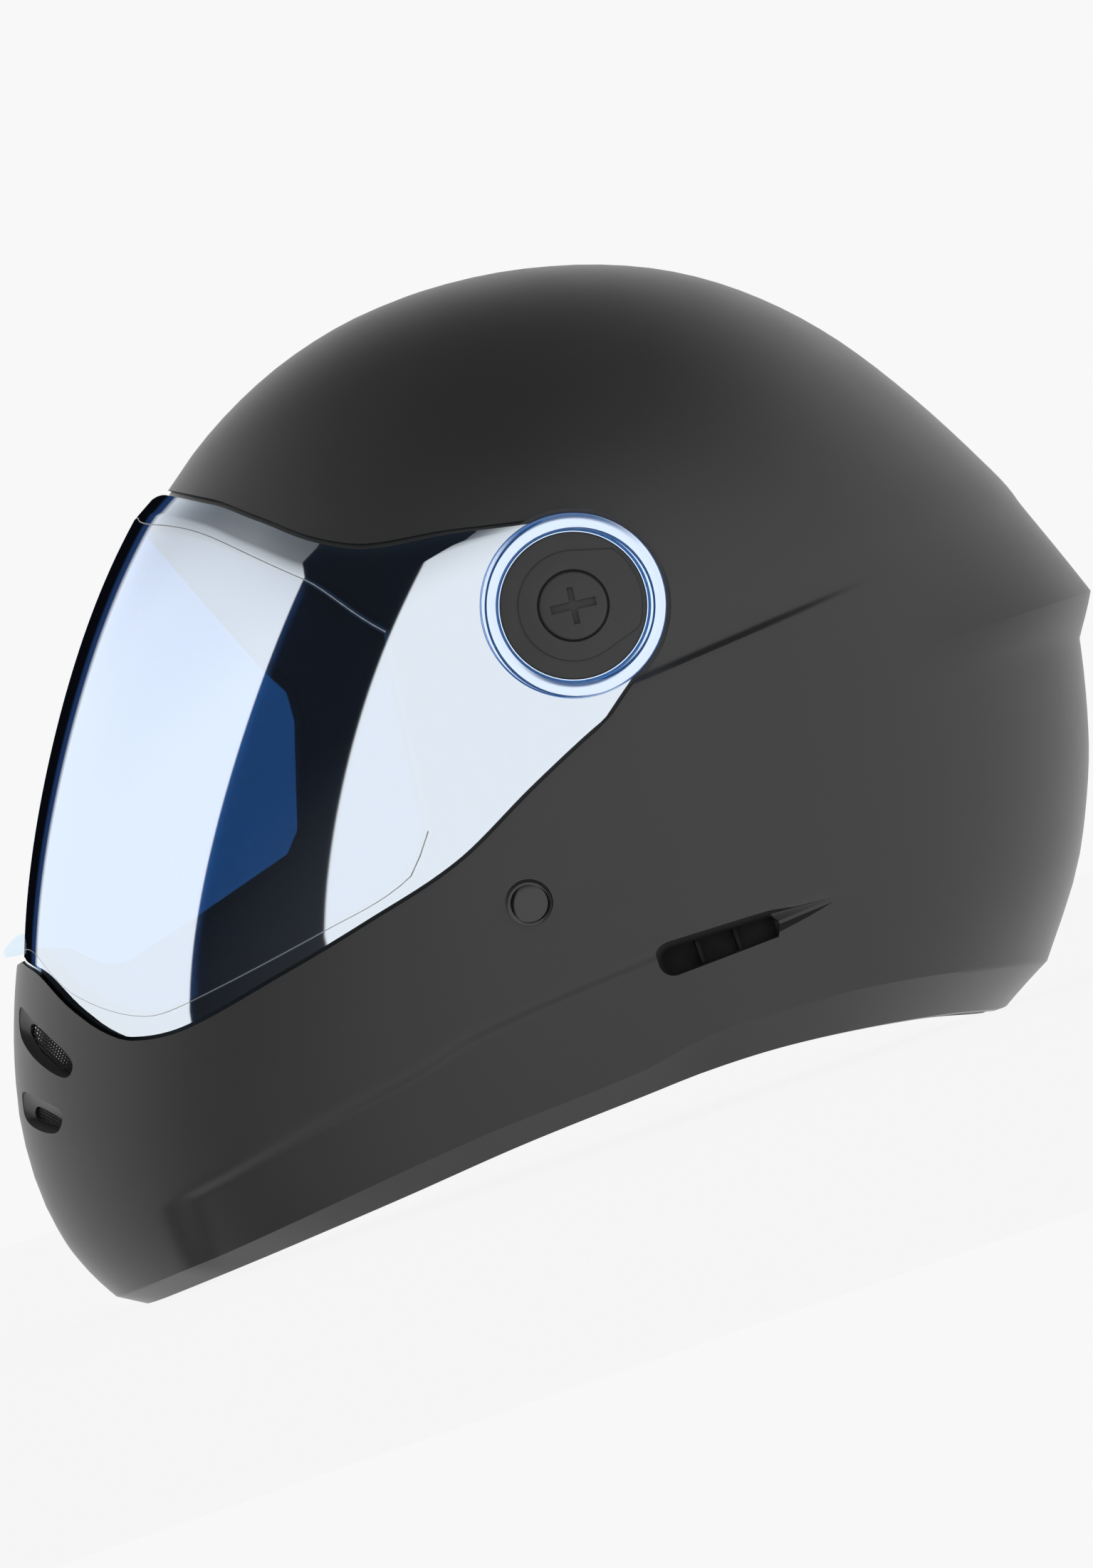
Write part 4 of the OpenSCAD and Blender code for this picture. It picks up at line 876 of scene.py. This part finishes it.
for side, s in (("left", 1), ("right", -1)):
    cap = ear_outline_piece("cap_" + side, s, disc_outline(cap_r), hub_h, cap_face)
    soften(cap, 0.7)
    drop = ear_outline_piece("drop_" + side, s, drop_outline(), cap_face - 1, cap_face + 0.7)
    soften(drop, 0.45)
    cut(cap, drop, "UNION")
    cut(cap, ear_outline_piece("pit", s, disc_outline(10.9, 96), pit_floor, cap_face + 5))
    cut(cap, ear_outline_piece("bore", s, disc_outline(3.2, 48), hub_h - 2, cap_face + 5))
    finish_piece(cap, matt_black, "helmet", "pivot_cap_" + side, 30)
    head_face = cap_face + 0.9
    screw = ear_outline_piece("screw_" + side, s, disc_outline(10.3, 96), pit_floor, head_face)
    soften(screw, 0.8)
    for half_size in ((6.9, 1.3), (0.93, 5.6)):
        cut(screw, ear_outline_piece("slot", s, slot_bar(*half_size), head_face - 1.4, head_face + 3))
    shank = ear_outline_piece("shank", s, disc_outline(3.0, 48), -4.9, pit_floor + 0.5)
    cut(screw, shank, "UNION")
    finish_piece(screw, matt_black, "helmet", "pivot_screw_" + side, 30)

# The strap rivets have low domed heads with a ring groove, in gloss black enamel. They sit in
# countersunk seats of the shell, and their shanks carry the hanger plates.
gloss_black = grained("gloss_black_enamel", (0.006, 0.006, 0.006), (0.010, 0.010, 0.010), (0.12, 0.18),
    60, 1500, 0.00001)
rivet_profile = [(-10, 2.4), (0, 2.4), (0, 6.5), (1.2, 6.6), (1.55, 6.3), (1.45, 5.9), (1.3, 5.6),
    (1.45, 5.3), (1.75, 4.0), (1.95, 2.2), (2.0, 0.8)]
for side, s in (("left", 1), ("right", -1)):
    steps = [(s * (rivet_x + 0.05 + rise), r) for rise, r in rivet_profile]
    ends = [(x, rivet_y, rivet_z) for x in (steps[0][0], steps[-1][0])]
    rivet = closed_mesh("rivet_" + side, turned_rings(rivet_y, rivet_z, steps, 64), *ends)
    finish_piece(rivet, gloss_black, "helmet", "strap_rivet_" + side, angle=40)

# Behind each chin vent a punched steel mesh is glued, sprayed black; the side vents are black
# plastic inserts with two louvres.
sprayed_mesh = grained("sprayed_mesh", (0.010, 0.010, 0.010), (0.018, 0.018, 0.018), (0.4, 0.55),
    200, 2500, 0.00004, metallic=0.3)
# The side vents' black is deeper than the moulding's own: partly its black, partly painted shade of the slot
# they sit in.
moulded_black_with_slot_shade = grained("moulded_black_with_slot_shade", (0.004, 0.004, 0.004), (0.007, 0.007, 0.007), (0.55, 0.7),
    90, 1800, 0.00005, gloss=0.2)
mesh_depth = 4.0
for place_name, (outer_corners, inner_corners) in zip(("upper", "lower"), chin_vents):
    corner_a, corner_b, corner_c, corner_d = (Vector(c) for c in inner_corners)
    middle = (corner_a + corner_b + corner_c + corner_d) / 4
    out = skin_normal(*middle)
    for side, s in (("left", 1), ("right", -1)):
        bpy.ops.mesh.primitive_grid_add(x_subdivisions=26, y_subdivisions=9, size=1)
        mesh_piece = bpy.context.object
        mesh_piece.name = "chin_wire_mesh_" + place_name + "_" + side
        for vertex in mesh_piece.data.vertices:
            # The mesh reaches past the opening on all sides
            u, v = (vertex.co[0] + 0.5) * 1.3 - 0.15, (vertex.co[1] + 0.5) * 1.9 - 0.45
            spot = corner_a.lerp(corner_d, u).lerp(corner_b.lerp(corner_c, u), v)
            p = Vector((side_x(spot[0], spot[1]), spot[0], spot[1])) - out * mesh_depth
            vertex.co = Vector((s * p[0], p[1], p[2])) * MM
        wires = mesh_piece.modifiers.new("wires", "WIREFRAME")
        wires.thickness = 0.62 * MM
        apply_all(mesh_piece)
        point_normals_out(mesh_piece)
        finish_piece(mesh_piece, sprayed_mesh, "helmet", "chin_mesh_" + place_name + "_" + side, angle=40)
for side in ("left", "right"):
    coat_node("side_vent_" + side, moulded_black_with_slot_shade)

# The liners are moulded from black expanded bead foam, one in the cap and one in the chin bar; the
# pattern is the outline of the fused beads.
bead_foam = grained("bead_foam", (0.016, 0.016, 0.017), (0.026, 0.026, 0.027), (0.7, 0.85),
    70, 900, 0.00004, gloss=0.3)


def node_of(material, kind):
    """The first shader node of a kind in a finish."""
    return next(node for node in material.node_tree.nodes if node.type == kind)


nodes, links = bead_foam.node_tree.nodes, bead_foam.node_tree.links
place = node_of(bead_foam, "TEX_COORD")
beads = nodes.new("ShaderNodeTexVoronoi")
beads.feature = "DISTANCE_TO_EDGE"
beads.inputs["Scale"].default_value = 330
links.new(place.outputs["Object"], beads.inputs["Vector"])
seams = nodes.new("ShaderNodeMapRange")
seams.inputs["From Max"].default_value = 0.12
links.new(beads.outputs["Distance"], seams.inputs["Value"])
bump = node_of(bead_foam, "BUMP")
bump.inputs["Distance"].default_value = 0.0003
links.new(seams.outputs["Result"], bump.inputs["Height"])
coat_node("impact_liner", bead_foam)
coat_node("chin_bar_liner", bead_foam)

# The neck opening is edged with a rounded rubber trim. It is one extruded loop that clips over the
# shell's turned-in rim.
trim_deep, trim_wide = 2.8, 2.2
trim_rise, trim_high = 4.2, 3.7
trim_turns = [2 * math.pi * k / 12 for k in range(12)]
trim_rings = []
for t in (360 * j / 160 for j in range(160)):
    z, y = row_place(0, t)
    ring = []
    for a in trim_turns:
        deep = trim_deep + trim_wide * math.copysign(abs(math.cos(a)) ** 0.6, math.cos(a))
        rise = trim_rise + trim_high * math.copysign(abs(math.sin(a)) ** 0.6, math.sin(a))
        ring.append(shell_point(z, t, shell_wall + turn_in(y) + deep) + Vector((0, 0, rise)))
    trim_rings.append(ring)
trim = endless("rubber_trim", trim_rings)
finish_piece(trim, black_rubber, "helmet", "neck_edge_trim", angle=60)

# The comfort pads are cut foam sewn into brushed knit covers: one over the crown, one round the
# nape and one on each cheek. They are pressed into the liner.
brushed_knit = grained("brushed_knit", (0.030, 0.030, 0.033), (0.048, 0.048, 0.052), (0.85, 0.95),
    40, 2600, 0.0002, gloss=0.2)
knit_shader = brushed_knit.node_tree.nodes["Principled BSDF"]
knit_shader.inputs["Sheen Weight"].default_value = 0.35
knit_shader.inputs["Sheen Roughness"].default_value = 0.5


def swollen(name, node, voxel, reach):
    """A copy of a pad's solid, remeshed and blown up like sewn foam, no point moved further than reach."""
    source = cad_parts[node]
    pad = bpy.data.objects.new(name, source.data.copy())
    bpy.context.scene.collection.objects.link(pad)
    shape = bmesh.new()
    shape.from_mesh(pad.data)
    bmesh.ops.remove_doubles(shape, verts=shape.verts, dist=0.00005)
    bmesh.ops.recalc_face_normals(shape, faces=shape.faces)
    shape.to_mesh(pad.data)
    shape.free()
    smaller = pad.modifiers.new("smaller", "DISPLACE")
    smaller.strength = -reach * 0.6 * MM
    smaller.mid_level = 0
    grid = pad.modifiers.new("grid", "REMESH")
    grid.mode = "VOXEL"
    grid.voxel_size = voxel * MM
    apply_all(pad)
    rest = [v.co.copy() for v in pad.data.vertices]
    cloth = pad.modifiers.new("cloth", "CLOTH")
    cloth.settings.use_pressure = True
    cloth.settings.uniform_pressure_force = 4.0
    cloth.settings.effector_weights.gravity = 0
    cloth.settings.quality = 4
    for number in range(1, 21):
        bpy.context.scene.frame_set(number)
    make_active(pad)
    bpy.ops.object.modifier_apply(modifier=cloth.name)
    for v, start in zip(pad.data.vertices, rest):
        move = v.co - start
        if move.length > reach * MM:
            v.co = start + move * (reach * MM / move.length)
    bpy.context.scene.frame_set(1)
    finer = pad.modifiers.new("finer", "SUBSURF")
    finer.levels = 1
    finer.render_levels = 1
    apply_all(pad)
    return pad


for name, node, reach in (("crown_comfort_pad", "crown_pad", 1.2), ("nape_roll", "neck_roll", 1.2),
        ("cheek_pad_l", "cheek_pad_left", 1.5), ("cheek_pad_r", "cheek_pad_right", 1.5)):
    pad = swollen(name, node, 4.5, reach)
    finish_piece(pad, brushed_knit, "helmet", node, angle=80)

# The chin strap is woven black webbing in two halves, hung from steel plates, with two welded D
# rings on the short half, sewn sleeves of soft padding and a press stud for the free end.
webbing = grained("black_webbing", (0.010, 0.010, 0.011), (0.022, 0.022, 0.023), (0.6, 0.75),
    150, 2600, 0.0001, gloss=0.35)
nodes, links = webbing.node_tree.nodes, webbing.node_tree.links
place = node_of(webbing, "TEX_COORD")
ribs = nodes.new("ShaderNodeTexWave")
ribs.bands_direction = "Y"
ribs.inputs["Scale"].default_value = 190
ribs.inputs["Distortion"].default_value = 1.2
links.new(place.outputs["Object"], ribs.inputs["Vector"])
bump = node_of(webbing, "BUMP")
bump.inputs["Distance"].default_value = 0.00035
bump.inputs["Strength"].default_value = 0.7
links.new(ribs.outputs["Fac"], bump.inputs["Height"])
polished_steel = grained("polished_steel", (0.58, 0.58, 0.60), (0.66, 0.66, 0.68), (0.10, 0.18),
    90, 1500, 0.00001, metallic=1.0)
dark_snap = grained("dark_snap", (0.05, 0.05, 0.055), (0.08, 0.08, 0.085), (0.25, 0.35),
    90, 1500, 0.00001, metallic=0.8)
coat_node("strap_long", webbing)
coat_node("strap_short", webbing)
coat_node("d_rings", polished_steel)
coat_node("strap_stud", dark_snap)
for side in ("left", "right"):
    coat_node("strap_hanger_" + side, spring_steel)
    sleeve = swollen("strap_sleeve_" + side, "strap_pad_" + side, 1.6, 0.5)
    finish_piece(sleeve, brushed_knit, "chin_strap", "strap_pad_" + side, angle=80)

# The floor is a plain pale sweep, and the world a white studio with a dark overhead and a dark
# flag at the front quarter, which the visor's mirror coat picks up.
bpy.ops.mesh.primitive_plane_add(size=6, location=(0, 0, 0))
floor = bpy.context.object
floor.name = "floor"
pale_floor = bpy.data.materials.new("pale_floor")
pale_floor.use_nodes = True
nodes, links = pale_floor.node_tree.nodes, pale_floor.node_tree.links
matt = nodes["Principled BSDF"]
matt.inputs["Base Color"].default_value = (0.85, 0.85, 0.85, 1)
matt.inputs["Roughness"].default_value = 0.9
glow = nodes.new("ShaderNodeEmission")
glow.inputs["Color"].default_value = (0.939, 0.939, 0.939, 1)
path = nodes.new("ShaderNodeLightPath")
share = nodes.new("ShaderNodeMath")
share.operation = "MULTIPLY"
share.inputs[1].default_value = 0.95
links.new(path.outputs["Is Camera Ray"], share.inputs[0])
blend = nodes.new("ShaderNodeMixShader")
links.new(share.outputs["Value"], blend.inputs["Fac"])
links.new(matt.outputs["BSDF"], blend.inputs[1])
links.new(glow.outputs["Emission"], blend.inputs[2])
unseen = nodes.new("ShaderNodeBsdfTransparent")
clear_share = nodes.new("ShaderNodeMath")
clear_share.operation = "MAXIMUM"
links.new(path.outputs["Is Glossy Ray"], clear_share.inputs[0])
links.new(path.outputs["Is Transmission Ray"], clear_share.inputs[1])
clear_blend = nodes.new("ShaderNodeMixShader")
links.new(clear_share.outputs["Value"], clear_blend.inputs["Fac"])
links.new(blend.outputs["Shader"], clear_blend.inputs[1])
links.new(unseen.outputs["BSDF"], clear_blend.inputs[2])
links.new(clear_blend.outputs["Shader"], nodes["Material Output"].inputs["Surface"])
floor.data.materials.append(pale_floor)

world = bpy.data.worlds.new("studio")
bpy.context.scene.world = world
world.use_nodes = True
nodes, links = world.node_tree.nodes, world.node_tree.links
nodes.clear()


def math_node(operation, a, b=None, c=None):
    """The result of a sum on numbers and sockets."""
    node = nodes.new("ShaderNodeMath")
    node.operation = operation
    for socket, value in zip(node.inputs, (a, b, c)):
        if value is None:
            continue
        if isinstance(value, (int, float)):
            socket.default_value = value
        else:
            links.new(value, socket)
    return node.outputs["Value"]


def ramp_node(value, low, high, start, end):
    """Smoothly from start to end while value goes from low to high."""
    node = nodes.new("ShaderNodeMapRange")
    node.interpolation_type = "SMOOTHSTEP"
    links.new(value, node.inputs["Value"])
    for name, number in (("From Min", low), ("From Max", high), ("To Min", start), ("To Max", end)):
        node.inputs[name].default_value = number
    return node.outputs["Result"]


direction = nodes.new("ShaderNodeTexCoord")
parts = nodes.new("ShaderNodeSeparateXYZ")
links.new(direction.outputs["Generated"], parts.inputs["Vector"])
dx, dy, dz = (parts.outputs[axis] for axis in "XYZ")
degrees = 57.2958
bearing = math_node("MULTIPLY", math_node("ARCTAN2", math_node("MULTIPLY", dy, -1), dx), degrees)
# The dark flag lies between two bearings that lean with height
flag_lean = math_node("MULTIPLY_ADD", dz, -32, 61.5)
flag_far = math_node("MULTIPLY_ADD", math_node("MULTIPLY", dz, dz), 20, flag_lean)
flag_near = math_node("MULTIPLY_ADD", dz, -26.5, 29.6)
in_flag = math_node("MULTIPLY", ramp_node(math_node("SUBTRACT", bearing, flag_near), 0, 0.6, 0, 1),
    ramp_node(math_node("SUBTRACT", flag_far, bearing), 0, 0.6, 0, 1))
# The overhead is dark above the middle and the rear and stays light ahead of the helmet
dark_share = ramp_node(dy, -0.75, -0.25, 0.15, 1)
overhead = math_node("SUBTRACT", 1, math_node("MULTIPLY", ramp_node(dz, 0.3, 0.85, 0, 0.9), dark_share))
rearward = ramp_node(dy, 0.05, 0.9, 1.55, 1.5)
light = math_node("MULTIPLY", overhead, rearward)
flag_tone = ramp_node(dz, -0.25, 0.1, 0.05, 0.012)
level = nodes.new("ShaderNodeMix")
level.data_type = "FLOAT"
links.new(in_flag, level.inputs["Factor"])
links.new(light, level.inputs["A"])
links.new(flag_tone, level.inputs["B"])
seen = nodes.new("ShaderNodeBackground")
seen.inputs["Color"].default_value = (0.939, 0.939, 0.939, 1)
mirrored = nodes.new("ShaderNodeBackground")
mirrored.inputs["Color"].default_value = (1, 1, 1, 1)
links.new(level.outputs["Result"], mirrored.inputs["Strength"])
soft = nodes.new("ShaderNodeBackground")
soft.inputs["Color"].default_value = (1, 1, 1, 1)
fill = math_node("MULTIPLY", ramp_node(dy, -0.3, 0.8, 0.75, 1.25), ramp_node(dz, -0.2, 0.7, 1.1, 0.6))
links.new(fill, soft.inputs["Strength"])
path = nodes.new("ShaderNodeLightPath")
first = nodes.new("ShaderNodeMixShader")
links.new(path.outputs["Is Glossy Ray"], first.inputs["Fac"])
links.new(soft.outputs["Background"], first.inputs[1])
links.new(mirrored.outputs["Background"], first.inputs[2])
second = nodes.new("ShaderNodeMixShader")
clear_ray = math_node("MAXIMUM", path.outputs["Is Camera Ray"], path.outputs["Is Transmission Ray"])
links.new(clear_ray, second.inputs["Fac"])
links.new(first.outputs["Shader"], second.inputs[1])
links.new(seen.outputs["Background"], second.inputs[2])
world_out = nodes.new("ShaderNodeOutputWorld")
links.new(second.outputs["Shader"], world_out.inputs["Surface"])

bpy.context.scene.view_settings.view_transform = "Standard"
